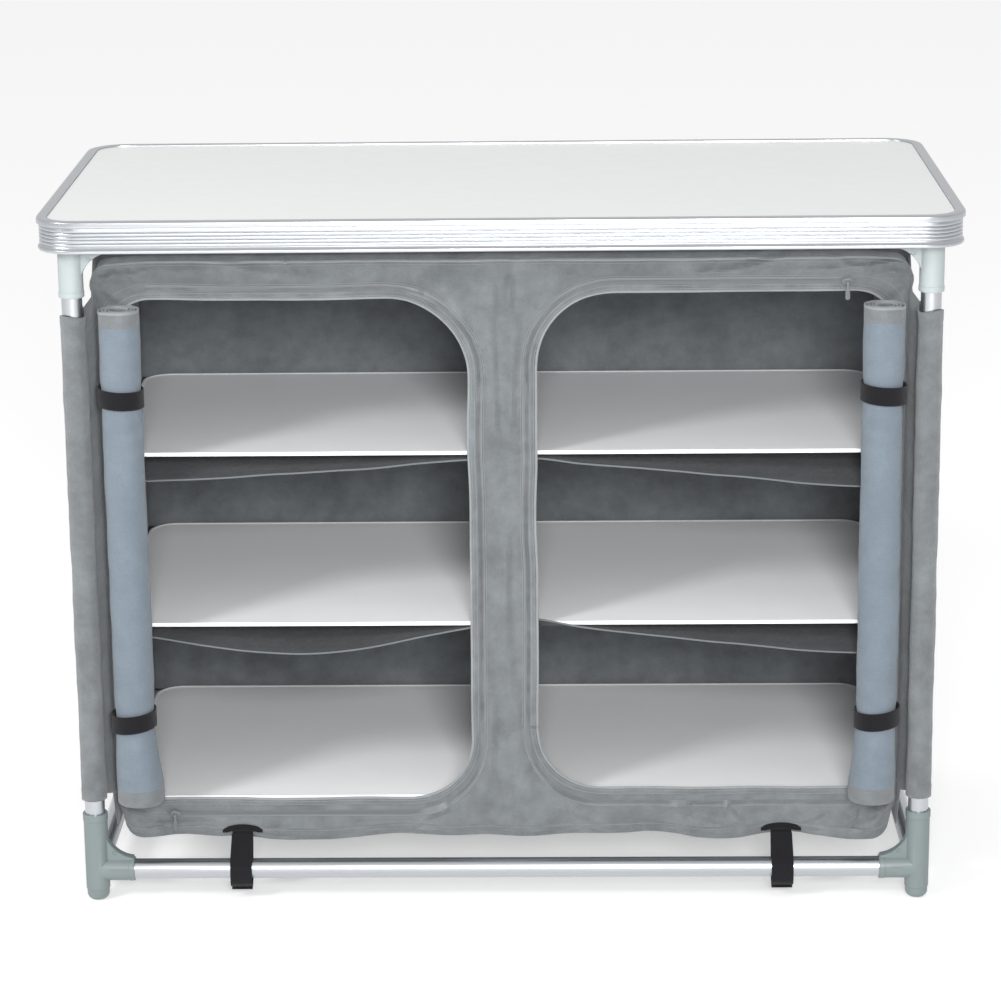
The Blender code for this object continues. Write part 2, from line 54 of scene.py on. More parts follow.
# ---------------------------------------------------------------- dimensions
ROUND = 56                   # sides of a smooth tube
TUBE_WALL = 0.0012
TRIM_REACH = 0.0110          # how far the edge trim's lips reach over the board
TOP_CORNER = 0.0420
SHELF_CORNER = 0.0320
CLOTH_THICK = 0.0009
HEM_THICK = 0.0008

MOUTH_EDGE = 0.0130          # from a mouth's edge to the far side of its zip track
MOUTH_RISE = 0.0065          # a mouth's lower edge stands this much above the CAD's
MOUTH_SIDE = 0.0120          # from the front panel's edge to a mouth
MOUTH_TOP_RADIUS = 0.0850
MOUTH_LOW_RADIUS = 0.0700
MOUTH_OUT_RADIUS = 0.0200
MOUTH_ROLL_RADIUS = 0.0460   # a mouth's upper outer corner, mostly behind the rolled door
ZIP_LINE = 0.0105            # from a mouth's edge to the middle of its zip
MOUTH_HEM = 0.0080           # width of the band along a mouth, and of the cloth turned under it
SKIRT_HEM = 0.0124           # width of the bottom hem's band, and of the cloth turned up in it
SEAM_ALLOWANCE = 0.0100      # guessed: cloth turned in at the front panel's sides and top

ROLL_PITCH = 0.0037          # from one turn of a rolled door to the next
ROLL_CORE = 0.0085           # radius of the open middle of a rolled door
ROLL_TAIL = 0.0140           # flat cloth from the roll to its seam on the panel
LOW_BOARD_DIP = 0.0075       # how far the lowest boards' front edge sags on the floor cloth
BOARD_TILT = {"lower": 0.0, "middle": 0.012, "upper": 0.003}    # rise of a board's rear edge
ROLL_HEM = 0.0165            # grey band along the door's upper and lower edges


def span(node):
    """A CAD node's extent along X, Y and Z, as three (low, high) pairs."""
    low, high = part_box(node)
    return [(low[i], high[i]) for i in range(3)]


def middle(pair):
    return (pair[0] + pair[1]) / 2


PANEL_X, PANEL_Y, PANEL_Z = span("front_panel")
BACK_Y = span("back_panel")[1]
WALL_X = PANEL_X[1] + 0.0018    # outer face of the side walls
TRIM_X, TRIM_Y, TRIM_Z = span("edge_trim_front")
BOARD_Z = span("table_board")[2]


# -------------------------------------------------------------- mesh helpers
def mesh_object(name, verts, faces, mats, uvs=None, face_mats=None, sharp=40):
    """A mesh object from arrays. UVs are given per vertex."""
    mesh = bpy.data.meshes.new(name)
    mesh.from_pydata(np.asarray(verts, float).tolist(), [], [list(map(int, f)) for f in faces])
    for mat in mats if isinstance(mats, (list, tuple)) else [mats]:
        mesh.materials.append(mat)
    if uvs is not None:
        layer = mesh.uv_layers.new(name="cloth")
        index = np.empty(len(mesh.loops), int)
        mesh.loops.foreach_get("vertex_index", index)
        layer.data.foreach_set("uv", np.asarray(uvs, float)[index].ravel())
    if face_mats is not None:
        mesh.polygons.foreach_set("material_index", np.asarray(face_mats, int))
    mesh.update()
    mesh.shade_smooth()
    mesh.set_sharp_from_angle(angle=math.radians(sharp))
    obj = bpy.data.objects.new(name, mesh)
    bpy.context.scene.collection.objects.link(obj)
    return obj


def grid_faces(rows, columns, wrap_rows=False, wrap_columns=False):
    """Quads of a grid whose vertex (i, j) has the index i * columns + j."""
    i = np.arange(rows if wrap_rows else rows - 1)
    j = np.arange(columns if wrap_columns else columns - 1)
    i, j = np.meshgrid(i, j, indexing="ij")
    k, m = (i + 1) % rows, (j + 1) % columns
    quads = np.stack([i * columns + j, k * columns + j, k * columns + m, i * columns + m], -1)
    return quads.reshape(-1, 4)


def joined(parts):
    """One (verts, faces) pair from several."""
    verts, faces, start = [], [], 0
    for part_verts, part_faces in parts:
        verts.append(np.asarray(part_verts, float))
        faces.extend([[index + start for index in face] for face in part_faces])
        start += len(part_verts)
    return np.concatenate(verts), faces


def rest_on(obj, *modifiers):
    """Apply the object's modifiers to its mesh."""
    bpy.context.view_layer.update()
    graph = bpy.context.evaluated_depsgraph_get()
    mesh = bpy.data.meshes.new_from_object(obj.evaluated_get(graph))
    obj.modifiers.clear()
    obj.data = mesh
    return obj


def solidify(obj, thickness, offset=0.0):
    modifier = obj.modifiers.new("Thickness", "SOLIDIFY")
    modifier.thickness = thickness
    modifier.offset = offset
    return rest_on(obj)


def arc(centre, radius, start, end, steps):
    """Points on an arc, angles in degrees, both ends included."""
    angles = np.radians(np.linspace(start, end, steps + 1))
    return [(centre[0] + radius * math.cos(a), centre[1] + radius * math.sin(a)) for a in angles]


def rounded_rectangle(low, high, radii, steps=12):
    """An outline, anticlockwise from the low corner; radii go in the same order."""
    (x0, y0), (x1, y1) = low, high
    r0, r1, r2, r3 = radii
    return (arc((x0 + r0, y0 + r0), r0, 180, 270, steps)
            + arc((x1 - r1, y0 + r1), r1, 270, 360, steps)
            + arc((x1 - r2, y1 - r2), r2, 0, 90, steps)
            + arc((x0 + r3, y1 - r3), r3, 90, 180, steps))


def resampled(points, step, closed=False):
    """The same line with its points about `step` apart."""
    points = np.asarray(points, float)
    if closed:
        points = np.vstack([points, points[:1]])
    lengths = np.linalg.norm(np.diff(points, axis=0), axis=1)
    keep = np.concatenate([[True], lengths > 1e-7])
    points = points[keep]
    run = np.concatenate([[0], np.cumsum(np.linalg.norm(np.diff(points, axis=0), axis=1))])
    count = max(2, int(round(run[-1] / step)))
    stops = np.linspace(0, run[-1], count + 1)
    if closed:
        stops = stops[:-1]
    return np.stack([np.interp(stops, run, points[:, k]) for k in range(points.shape[1])], 1)


def line_normals(points, closed=False):
    """Unit normals of a flat line, to the left of its direction."""
    if closed:
        tangent = np.roll(points, -1, 0) - np.roll(points, 1, 0)
    else:
        tangent = np.gradient(points, axis=0)
    tangent /= np.linalg.norm(tangent, axis=1)[:, None]
    return np.stack([-tangent[:, 1], tangent[:, 0]], 1)


def line_lengths(points):
    return np.concatenate([[0], np.cumsum(np.linalg.norm(np.diff(points, axis=0), axis=1))])


def revolved(profile, count=ROUND):
    """A closed (radius, height) profile turned about Z, its outer side running upwards."""
    profile = np.asarray(profile, float)
    angles = np.arange(count) * 2 * math.pi / count
    radius, height = profile[:, 0], profile[:, 1]
    verts = np.stack([np.outer(np.cos(angles), radius), np.outer(np.sin(angles), radius),
                      np.tile(height, (count, 1))], -1).reshape(-1, 3)
    return verts, grid_faces(count, len(profile), True, True)


def capped_rod(profile, count=ROUND):
    """A solid turned rod: (radius, height) points upwards, closed by a face at each end."""
    profile = np.asarray(profile, float)
    verts, faces = revolved(profile, count)
    columns = len(profile)
    faces = [list(f) for f in grid_faces(count, columns, True, False)]
    faces.append([i * columns for i in range(count)][::-1])
    faces.append([i * columns + columns - 1 for i in range(count)])
    return verts, faces


def tube_along(path, radius, sides=10, squash=1.0):
    """A round cord of cloth or wire along a line of points, with closed ends."""
    path = np.asarray(path, float)
    tangent = np.gradient(path, axis=0)
    tangent /= np.linalg.norm(tangent, axis=1)[:, None]
    up = np.array([0.0, -1.0, 0.0])
    first = np.cross(tangent, up)
    weak = np.linalg.norm(first, axis=1) < 0.2
    first[weak] = np.cross(tangent[weak], np.array([1.0, 0.0, 0.0]))
    first /= np.linalg.norm(first, axis=1)[:, None]
    second = np.cross(tangent, first)
    angles = np.arange(sides) * 2 * math.pi / sides
    ring = (np.cos(angles)[None, :, None] * first[:, None, :]
            + squash * np.sin(angles)[None, :, None] * second[:, None, :])
    verts = (path[:, None, :] + radius * ring).reshape(-1, 3)
    faces = [list(f)[::-1] for f in grid_faces(len(path), sides, False, True)]
    faces.append(list(range(sides)))
    faces.append([(len(path) - 1) * sides + k for k in range(sides)][::-1])
    return verts, faces


def slab(outline_at, levels):
    """A plate built of rings: outline_at(inset) gives an outline, levels are (inset, z)."""
    rings = [np.asarray(outline_at(inset), float) for inset, _ in levels]
    count = len(rings[0])
    verts = np.concatenate([np.column_stack([ring, np.full(count, z)])
                            for ring, (_, z) in zip(rings, levels)])
    faces = [list(f)[::-1] for f in grid_faces(len(levels), count, False, True)]
    faces.append(list(range(count))[::-1])
    faces.append([(len(levels) - 1) * count + k for k in range(count)])
    return verts, faces


def placed(part, matrix):
    """The same (verts, faces) moved by a matrix, still facing outwards."""
    verts, faces = part
    verts = np.asarray(verts, float) @ np.array(matrix.to_3x3()).T + np.array(matrix.translation)
    if matrix.determinant() < 0:
        faces = [list(face)[::-1] for face in faces]
    return verts, faces


def merged(parts, mats, name, cuts=()):
    """One closed body from overlapping closed parts, less the cuts."""
    objects = [mesh_object(f"{name}_{k}", *part, mats) for k, part in enumerate(parts)]
    cutters = [mesh_object(f"{name}_cut_{k}", *part, mats) for k, part in enumerate(cuts)]
    base = objects[0]
    for other, operation in ([(o, "UNION") for o in objects[1:]]
                             + [(c, "DIFFERENCE") for c in cutters]):
        modifier = base.modifiers.new(operation.title(), "BOOLEAN")
        modifier.operation = operation
        modifier.object = other
    rest_on(base)
    for other in objects[1:] + cutters:
        bpy.data.objects.remove(other, do_unlink=True)
    base.name = base.data.name = name
    base.data.shade_smooth()
    base.data.set_sharp_from_angle(angle=math.radians(32))
    return base


# ------------------------------------------------------------- shape helpers
def smooth(low, high, value):
    t = np.clip((value - low) / (high - low), 0, 1)
    return t * t * (3 - 2 * t)


def noise(u, v, scale, seed):
    """Smooth noise of about -1 to 1, with features of `scale` metres."""
    table = np.random.default_rng(seed).uniform(-1, 1, (64, 64))
    turn = 0.6 + seed
    x = (u * math.cos(turn) - v * math.sin(turn)) / scale + 31.7
    y = (u * math.sin(turn) + v * math.cos(turn)) / scale + 17.3
    column, row = np.floor(x).astype(int), np.floor(y).astype(int)
    fx, fy = x - column, y - row
    fx, fy = (f * f * f * (f * (6 * f - 15) + 10) for f in (fx, fy))
    corner = [table[(column + i) % 64, (row + j) % 64] for i in (0, 1) for j in (0, 1)]
    low = corner[0] * (1 - fy) + corner[1] * fy
    high = corner[2] * (1 - fy) + corner[3] * fy
    return low * (1 - fx) + high * fx


def rumple(u, v, scale, seed):
    """Three octaves of noise."""
    return (noise(u, v, scale, seed) + 0.5 * noise(u, v, scale / 2.1, seed + 1)
            + 0.25 * noise(u, v, scale / 4.3, seed + 2)) / 1.5


def fold(u, v, start, end, width, height, bend=0.0):
    """A soft ridge from start to end that widens and fades as it goes."""
    du, dv = end[0] - start[0], end[1] - start[1]
    length = math.hypot(du, dv)
    t = ((u - start[0]) * du + (v - start[1]) * dv) / length ** 2
    across = ((v - start[1]) * du - (u - start[0]) * dv) / length - bend * 4 * t * (1 - t)
    spread = width * (0.6 + 0.8 * np.clip(t, 0, 1))
    fade = smooth(-0.05, 0.15, t) * (1 - smooth(0.35, 1.0, t))
    ridge = np.exp(-(across / spread) ** 2)
    trough = 0.45 * np.exp(-((np.abs(across) - 1.7 * spread) / spread) ** 2)
    return height * fade * (ridge - trough)


# ----------------------------------------------------------------- materials
class Shader:
    """A Principled material whose textures are added one call at a time."""

    def __init__(self, name, colour, roughness, metallic=0.0, **sockets):
        self.material = bpy.data.materials.new(name)
        self.material.use_nodes = True
        self.tree = self.material.node_tree
        self.shader = self.tree.nodes["Principled BSDF"]
        self.colour = self.shader.inputs["Base Color"]
        self.colour.default_value = (*colour, 1)
        self.shader.inputs["Roughness"].default_value = roughness
        self.shader.inputs["Metallic"].default_value = metallic
        for socket, value in sockets.items():
            self.shader.inputs[socket.replace("_", " ")].default_value = value
        self.last_colour = None
        self.last_normal = None

    def node(self, kind, **settings):
        node = self.tree.nodes.new("ShaderNode" + kind)
        for key, value in settings.items():
            setattr(node, key, value)
        return node

    def link(self, source, target):
        self.tree.links.new(source, target)

    def coordinates(self, source, scale=(1, 1, 1), turn=0.0):
        """UV or Object coordinates, scaled and turned about Z."""
        where = self.node("TexCoord")
        mapping = self.node("Mapping")
        mapping.inputs["Scale"].default_value = scale
        mapping.inputs["Rotation"].default_value = (0, 0, turn)
        self.link(where.outputs[source], mapping.inputs["Vector"])
        return mapping.outputs["Vector"]

    def noise(self, vector, scale, detail=2.0, rough=0.5):
        node = self.node("TexNoise")
        node.inputs["Scale"].default_value = scale
        node.inputs["Detail"].default_value = detail
        node.inputs["Roughness"].default_value = rough
        self.link(vector, node.inputs["Vector"])
        return node.outputs["Fac"]

    def wave(self, vector, period, direction="X"):
        """Ridges of the given period in metres."""
        node = self.node("TexWave", bands_direction=direction)
        node.inputs["Scale"].default_value = math.pi / 10 / period
        self.link(vector, node.inputs["Vector"])
        return node.outputs["Fac"]

    def combine(self, operation, first, second):
        node = self.node("Math", operation=operation)
        self.link(first, node.inputs[0])
        if hasattr(second, "is_linked"):
            self.link(second, node.inputs[1])
        else:
            node.inputs[1].default_value = second
        return node.outputs["Value"]

    def ramp(self, value, low, high, bottom, top):
        node = self.node("MapRange")
        for key, number in (("From Min", low), ("From Max", high),
                            ("To Min", bottom), ("To Max", top)):
            node.inputs[key].default_value = number
        self.link(value, node.inputs["Value"])
        return node.outputs["Result"]

    def tint(self, value, dark, light):
        """Multiply the colour so far by a shade that runs from dark to light."""
        shade, product = self.colour_mix("MIX"), self.colour_mix("MULTIPLY")
        for socket, grey in zip(shade[1:3], (dark, light)):
            socket.default_value = (grey, grey, grey, 1)
        self.link(value, shade[0])
        product[0].default_value = 1.0
        if self.last_colour is None:
            product[1].default_value = self.colour.default_value
        else:
            self.link(self.last_colour, product[1])
        self.link(shade[3], product[2])
        self.last_colour = product[3]
        self.link(self.last_colour, self.colour)

    def colour_mix(self, blend):
        """A colour mixing node's sockets: factor, first, second and result."""
        node = self.node("Mix", data_type="RGBA", blend_type=blend)
        colours = [socket for socket in node.inputs if socket.type == "RGBA"]
        result = [socket for socket in node.outputs if socket.type == "RGBA"]
        return node.inputs["Factor"], colours[0], colours[1], result[0]

    def rough(self, value, low, high):
        self.link(self.ramp(value, 0.3, 0.7, low, high), self.shader.inputs["Roughness"])

    def bump(self, height, distance, strength=1.0):
        node = self.node("Bump")
        node.inputs["Distance"].default_value = distance
        node.inputs["Strength"].default_value = strength
        self.link(height, node.inputs["Height"])
        if self.last_normal is not None:
            self.link(self.last_normal, node.inputs["Normal"])
        self.last_normal = node.outputs["Normal"]
        self.link(self.last_normal, self.shader.inputs["Normal"])


def woven(name, colour, thread, sheen=0.15, contrast=0.12, cloud=0.10):
    """Coated polyester: a plain weave with a faint heather and cloudy shading."""
    cloth = Shader(name, colour, 0.8, Sheen_Weight=sheen, Sheen_Roughness=0.5,
                   Specular_IOR_Level=0.3)
    flat = cloth.coordinates("UV")
    across = cloth.wave(flat, thread, "X")
    along = cloth.wave(flat, thread, "Y")
    weave = cloth.combine("MULTIPLY", across, along)
    cloth.tint(weave, 1 - contrast, 1 + contrast * 0.6)
    cloth.tint(cloth.noise(flat, 1.0 / (thread * 2.2), 2), 1 - contrast, 1 + contrast)
    cloth.tint(cloth.ramp(cloth.noise(flat, 11.0, 6, 0.6), 0.34, 0.66, 0, 1), 1 - cloud, 1 + cloud)
    cloth.tint(cloth.ramp(cloth.noise(flat, 46.0, 4, 0.6), 0.30, 0.70, 0, 1), 1 - cloud, 1 + cloud)
    cloth.rough(cloth.noise(flat, 160.0, 3), 0.72, 0.9)
    cloth.bump(weave, 0.00025, 0.7)
    cloth.bump(cloth.noise(flat, 260.0, 4), 0.0005, 0.5)
    cloth.bump(cloth.noise(flat, 60.0, 4, 0.6), 0.0035, 0.6)
    return cloth.material


def metal(name, colour, roughness):
    """Anodised extrusion: UVs run along the extrusion, so the die lines do too."""
    alloy = Shader(name, colour, roughness, 1.0)
    lines = alloy.coordinates("UV", (6, 2200, 1))
    streak = alloy.noise(lines, 1.0, 3, 0.6)
    alloy.tint(streak, 0.94, 1.03)
    alloy.rough(streak, roughness - 0.05, roughness + 0.09)
    alloy.bump(streak, 0.00004, 0.5)
    return alloy.material


def moulded(name, colour, roughness):
    """Moulded plastic: fine spark-eroded grain and faint flow marks."""
    plastic = Shader(name, colour, roughness, Specular_IOR_Level=0.5)
    where = plastic.coordinates("Object")
    grain = plastic.noise(where, 1300.0, 2)
    flow = plastic.noise(where, 28.0, 4)
    plastic.tint(flow, 0.93, 1.06)
    plastic.tint(grain, 0.97, 1.03)
    plastic.rough(flow, roughness - 0.06, roughness + 0.08)
    plastic.bump(grain, 0.00012, 0.5)
    plastic.bump(flow, 0.0006, 0.15)
    return plastic.material


def sheet_board(name, colour, roughness):
    """Melamine board: a very faint speckle and orange peel under a satin gloss."""
    board = Shader(name, colour, roughness, Specular_IOR_Level=0.45, Coat_Weight=0.12,
                   Coat_Roughness=0.25)
    where = board.coordinates("Object")
    speckle = board.noise(where, 900.0, 3, 0.7)
    cloud = board.noise(where, 5.0, 4)
    board.tint(speckle, 0.975, 1.02)
    board.tint(cloud, 0.985, 1.01)
    board.rough(board.noise(where, 40.0, 5), roughness - 0.05, roughness + 0.06)
    board.bump(speckle, 0.00006, 0.35)
    board.bump(board.noise(where, 55.0, 3), 0.0003, 0.08)
    return board.material


def strap_weave(name, colour):
    """Hook-and-loop webbing: a coarse rib across the strap with fuzz."""
    strap = Shader(name, colour, 0.85, Sheen_Weight=0.12, Sheen_Roughness=0.4,
                   Specular_IOR_Level=0.25)
    flat = strap.coordinates("UV")
    rib = strap.wave(flat, 0.0013, "X")
    cross = strap.wave(strap.coordinates("UV", turn=0.9), 0.0017, "Y")
    fuzz = strap.noise(flat, 1100.0, 4, 0.7)
    pattern = strap.combine("MULTIPLY", rib, cross)
    strap.tint(pattern, 0.4, 1.9)
    strap.tint(fuzz, 0.4, 2.2)
    strap.bump(pattern, 0.0004, 0.8)
    strap.bump(fuzz, 0.0005, 0.6)
    return strap.material


def plain(name, colour, roughness, metallic=0.0):
    """A small part: one finish with a little grain."""
    part = Shader(name, colour, roughness, metallic)
    grain = part.noise(part.coordinates("Object"), 700.0, 3)
    part.tint(grain, 0.9, 1.08)
    part.rough(grain, roughness - 0.05, roughness + 0.08)
    part.bump(grain, 0.0001, 0.4)
    return part.material


MAT = {
    "aluminium": metal("aluminium", (0.50, 0.52, 0.545), 0.28),
    "edging": plain("edging", (0.86, 0.87, 0.88), 0.3),
    "laminate": sheet_board("laminate", (0.70, 0.715, 0.705), 0.38),
    "shelf": sheet_board("shelf", (0.92, 0.925, 0.93), 0.42),
    "bracket": moulded("bracket", (0.150, 0.180, 0.183), 0.42),
    "bracket_light": moulded("bracket_light", (0.325, 0.362, 0.368), 0.42),
    "cloth": woven("cloth", (0.150, 0.163, 0.172), 0.0007, 0.3, 0.18, 0.15),
    # Sling cloth: the same grey cloth painted far darker, as painted shade for the shadow under the boards.
    "sling_cloth_painted_shade": woven("sling_cloth_painted_shade", (0.040, 0.044, 0.047), 0.0007, 0.1),
    "binding": woven("binding", (0.24, 0.255, 0.265), 0.0006, 0.3, 0.08, 0.05),
    "door_cloth": woven("door_cloth", (0.158, 0.195, 0.232), 0.0007, 0.2, 0.20, 0.06),
    "webbing": strap_weave("webbing", (0.005, 0.005, 0.007)),
    "zip": plain("zip", (0.12, 0.13, 0.135), 0.5),
    "thread": plain("thread", (0.24, 0.25, 0.26), 0.7),
}
SKY = 0.78                   # strength of the white world


def finish(obj, body="frame", replaces=()):
    """Ride on a body and stand for CAD nodes."""
    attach(obj, body)
    if replaces:
        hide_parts(*([replaces] if isinstance(replaces, str) else replaces))
    return obj


# --------------------------------------------------------------------- stage
def build_stage():
    """A wide pale floor, a bright even sky with darker flags behind the viewer, two softboxes."""
    size = 30.0
    corners = [(x * size, y * size, -0.0006) for x, y in ((-1, -1), (1, -1), (1, 1), (-1, 1))]
    mesh_object("studio_floor", corners, [(0, 1, 2, 3)],
                         Shader("studio_floor", (0.66, 0.66, 0.66), 0.9, Emission_Strength=0.38,
                                Emission_Color=(1, 1, 1, 1)).material)

    world = bpy.data.worlds.new("studio")
    world.use_nodes = True
    tree = world.node_tree
    sky = tree.nodes["Background"]
    sky.inputs["Color"].default_value = (1.0, 1.0, 1.0, 1)
    direction = tree.nodes.new("ShaderNodeTexCoord")
    parts = tree.nodes.new("ShaderNodeSeparateXYZ")
    tree.links.new(direction.outputs["Generated"], parts.inputs["Vector"])

    def ramp(socket, start, end, low, high):
        node = tree.nodes.new("ShaderNodeMapRange")
        for key, number in (("From Min", start), ("From Max", end), ("To Min", low), ("To Max", high)):
            node.inputs[key].default_value = number
        tree.links.new(socket, node.inputs["Value"])
        return node.outputs["Result"]

    def product(first, second):
        node = tree.nodes.new("ShaderNodeMath")
        node.operation = "MULTIPLY"
        tree.links.new(first, node.inputs[0])
        tree.links.new(second, node.inputs[1])
        return node.outputs["Value"]

    behind = ramp(parts.outputs["Y"], -0.05, -0.30, 0, 1)
    low_band = product(ramp(parts.outputs["Z"], 0.46, 0.38, 0, 1), ramp(parts.outputs["Z"], 0.16, 0.24, 0, 1))
    flag = product(behind, low_band)
    tree.links.new(ramp(flag, 0, 1, SKY, SKY * 0.35), sky.inputs["Strength"])
    bpy.context.scene.world = world
    for name, place, aim, size, power in (
            ("key", (-2.6, -2.2, 2.4), (0.0, 0.0, 0.4), 0.9, 60),
            ("front", (0.30, -3.9, 1.80), (0.0, 0.0, 0.42), 1.2, 150)):
        light = bpy.data.lights.new(name, "AREA")
        light.shape = "DISK"
        light.size = size
        light.energy = power
        lamp = bpy.data.objects.new(name, light)
        lamp.location = place
        lamp.rotation_euler = (Vector(aim) - Vector(place)).to_track_quat("-Z", "Y").to_euler()
        bpy.context.scene.collection.objects.link(lamp)
    bpy.context.scene.view_settings.view_transform = "Standard"


def build_camera():
    pitch, yaw, roll = 0.26203, 0.02108, -0.01163
    forward = Vector((-math.sin(yaw) * math.cos(pitch), math.cos(yaw) * math.cos(pitch),
                      -math.sin(pitch)))
    level = Vector((math.cos(yaw), math.sin(yaw), 0))
    upright = level.cross(forward)
    right = level * math.cos(roll) + upright * math.sin(roll)
    up = upright * math.cos(roll) - level * math.sin(roll)
    lens = bpy.data.cameras.new("camera")
    lens.sensor_width = 36.0
    lens.lens = 114.5
    lens.shift_x = 0.0177
    lens.shift_y = -0.07
    lens.clip_end = 100
    camera = bpy.data.objects.new("camera", lens)
    camera.matrix_world = Matrix.Translation((0.0488, -3.4618, 1.4102)) @ Matrix(
        (right, up, -forward)).transposed().to_4x4()
    bpy.context.scene.collection.objects.link(camera)
    bpy.context.scene.camera = camera


# ----------------------------------------------------------------- table top
def top_outline(inset):
    x, y = TRIM_X[1] - inset, -TRIM_Y[0] - inset
    return rounded_rectangle((-x, -y), (x, y), [TOP_CORNER - inset] * 4, 16)


def build_board():
    low, high = BOARD_Z
    inset, face_inset = 0.0053, TRIM_REACH + 0.0003
    levels = [(inset, low), (inset, high - 0.0008), (face_inset, high - 0.0008),
              (face_inset, high - 0.0003), (face_inset + 0.0003, high)]
    board = mesh_object("board", *slab(top_outline, levels), MAT["laminate"])
    finish(board, "table_top", "table_board")


def trim_profile():
    """The extruded edge: (distance in from the outermost edge, height), once round."""
    low, high = TRIM_Z
    board_low, lip = BOARD_Z[0] - 0.0003, BOARD_Z[1] - 0.0005
    face, wall = 0.0030, 0.0050
    top = arc((0.0016, high - 0.0016), 0.0016, 90, 180, 4)
    upper = [(0.0, high - 0.0050)] + arc((0.0008, high - 0.0056), 0.0008, 180, 240, 2)
    ribs = []
    rib_top, rib_low, count = high - 0.0085, low + 0.0065, 5
    pitch = (rib_top - rib_low) / count
    for k in range(count):
        z = rib_top - k * pitch
        ribs += [(face - 0.0002, z), (face - 0.0005, z - 0.25 * pitch), (face - 0.0005, z - 0.6 * pitch),
                 (face - 0.0001, z - 0.8 * pitch), (face + 0.0006, z - 0.9 * pitch)]
    foot = arc((0.0016, low + 0.0030), 0.0008, 120, 180, 2) + arc((0.0022, low + 0.0014), 0.0014, 180, 270, 3)
    inside = [(TRIM_REACH, low), (TRIM_REACH, low + 0.0015), (wall, low + 0.0015),
              (wall, board_low - 0.0016), (TRIM_REACH + 0.001, board_low - 0.0016),
              (TRIM_REACH + 0.001, board_low), (wall, board_low), (wall, lip), (TRIM_REACH, lip)]
    nose = arc((TRIM_REACH - 0.0008, high - 0.0008), 0.0008, 0, 90, 3)
    return top + upper + [(face, high - 0.0072)] + ribs + [(face, low + 0.0052)] + foot + inside + nose


def build_trim():
    """Two U-shaped halves of the extrusion, butted at the middle of the short sides."""
    profile = np.array(trim_profile())
    profile_run = line_lengths(profile)
    x, y, radius = TRIM_X[1], -TRIM_Y[0], TOP_CORNER
    for word, end in ENDS.items():
        path = ([(-x, 0.00015)] + arc((-x + radius, y - radius), radius, 180, 90, 18)
                + arc((x - radius, y - radius), radius, 90, 0, 18) + [(x, 0.00015)])
        path = resampled(path, 0.012)
        outward = line_normals(path)
        outward[0], outward[-1] = (-1, 0), (1, 0)
        points = path[:, None, :] - outward[:, None, :] * profile[None, :, :1]
        heights = np.broadcast_to(profile[None, :, 1:], points.shape[:2] + (1,))
        verts = np.concatenate([points, heights], -1).reshape(-1, 3)
        verts[:, 1] *= end
        faces = [list(f) for f in grid_faces(len(path), len(profile), False, True)]
        count = len(profile)
        faces.append(list(range(count))[::-1])
        faces.append([(len(path) - 1) * count + k for k in range(count)])
        if end < 0:
            faces = [face[::-1] for face in faces]
        run = line_lengths(path)
        uvs = np.stack(np.meshgrid(run, profile_run, indexing="ij"), -1).reshape(-1, 2)
        trim = mesh_object("trim_" + word, verts, faces, MAT["aluminium"], uvs, sharp=50)
        finish(trim, "table_top", "edge_trim_" + word)


# --------------------------------------------------------------------- frame
def build_tubes():
    """Legs and rails: drawn tubes with broken edges, their UVs along the tube."""
    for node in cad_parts:
        if not node.startswith(("leg_front", "leg_rear", "top_rail", "bottom_rail")):
            continue
        extent = span(node)
        axis = max(range(3), key=lambda k: extent[k][1] - extent[k][0])
        length = extent[axis][1] - extent[axis][0]
        radius = (extent[axis - 1][1] - extent[axis - 1][0]) / 2
        bore, edge = radius - TUBE_WALL, 0.0003
        profile = [(bore, 0), (radius - edge, 0), (radius, edge)]
        profile += [(radius, t) for t in np.linspace(edge, length - edge, 9)[1:-1]]
        profile += [(radius, length - edge), (radius - edge, length), (bore, length)]
        verts, faces = revolved(profile)
        angle = np.repeat(np.arange(ROUND) * 2 * math.pi / ROUND, len(profile))
        uvs = np.stack([verts[:, 2], radius * np.abs(angle - math.pi)], 1)
        turn = {0: Euler((0, math.pi / 2, 0)), 1: Euler((-math.pi / 2, 0, 0)), 2: Euler((0, 0, 0))}[axis]
        start = Vector([middle(pair) for pair in extent])
        start[axis] = extent[axis][0]
        verts, faces = placed((verts, faces), Matrix.Translation(start) @ turn.to_matrix().to_4x4())
        tube = mesh_object("tube_" + node, verts, faces, MAT["aluminium"], uvs)
        finish(tube, replaces=node)


def web_part(reach, thick, bevel=0.0009):
    """A bracket's web in its own plane: x along the rail and z along the leg."""
    radius, centre = 0.036, (0.046, 0.050)
    start = math.degrees(math.asin((centre[0] - reach) / radius))
    edge = arc(centre, radius, 270 - start, 186, 18)
    outline = np.array([(0.0, 0.0), (reach, 0.0)] + edge + [(0.0, edge[-1][1])])
    middle_point = np.array([0.012, 0.015])
    rings = []
    for inset, y in ((bevel, -thick / 2), (0, -thick / 2 + bevel), (0, thick / 2 - bevel),
                     (bevel, thick / 2)):
        toward = middle_point - outline
        toward /= np.linalg.norm(toward, axis=1)[:, None]
        moved = outline + toward * inset
        rings.append(np.column_stack([moved[:, 0], np.full(len(moved), y), moved[:, 1]]))
    count = len(outline)
    faces = [list(f) for f in grid_faces(4, count, False, True)]
    faces.append(list(range(count)))
    faces.append([3 * count + k for k in range(count)][::-1])
    return np.concatenate(rings), faces


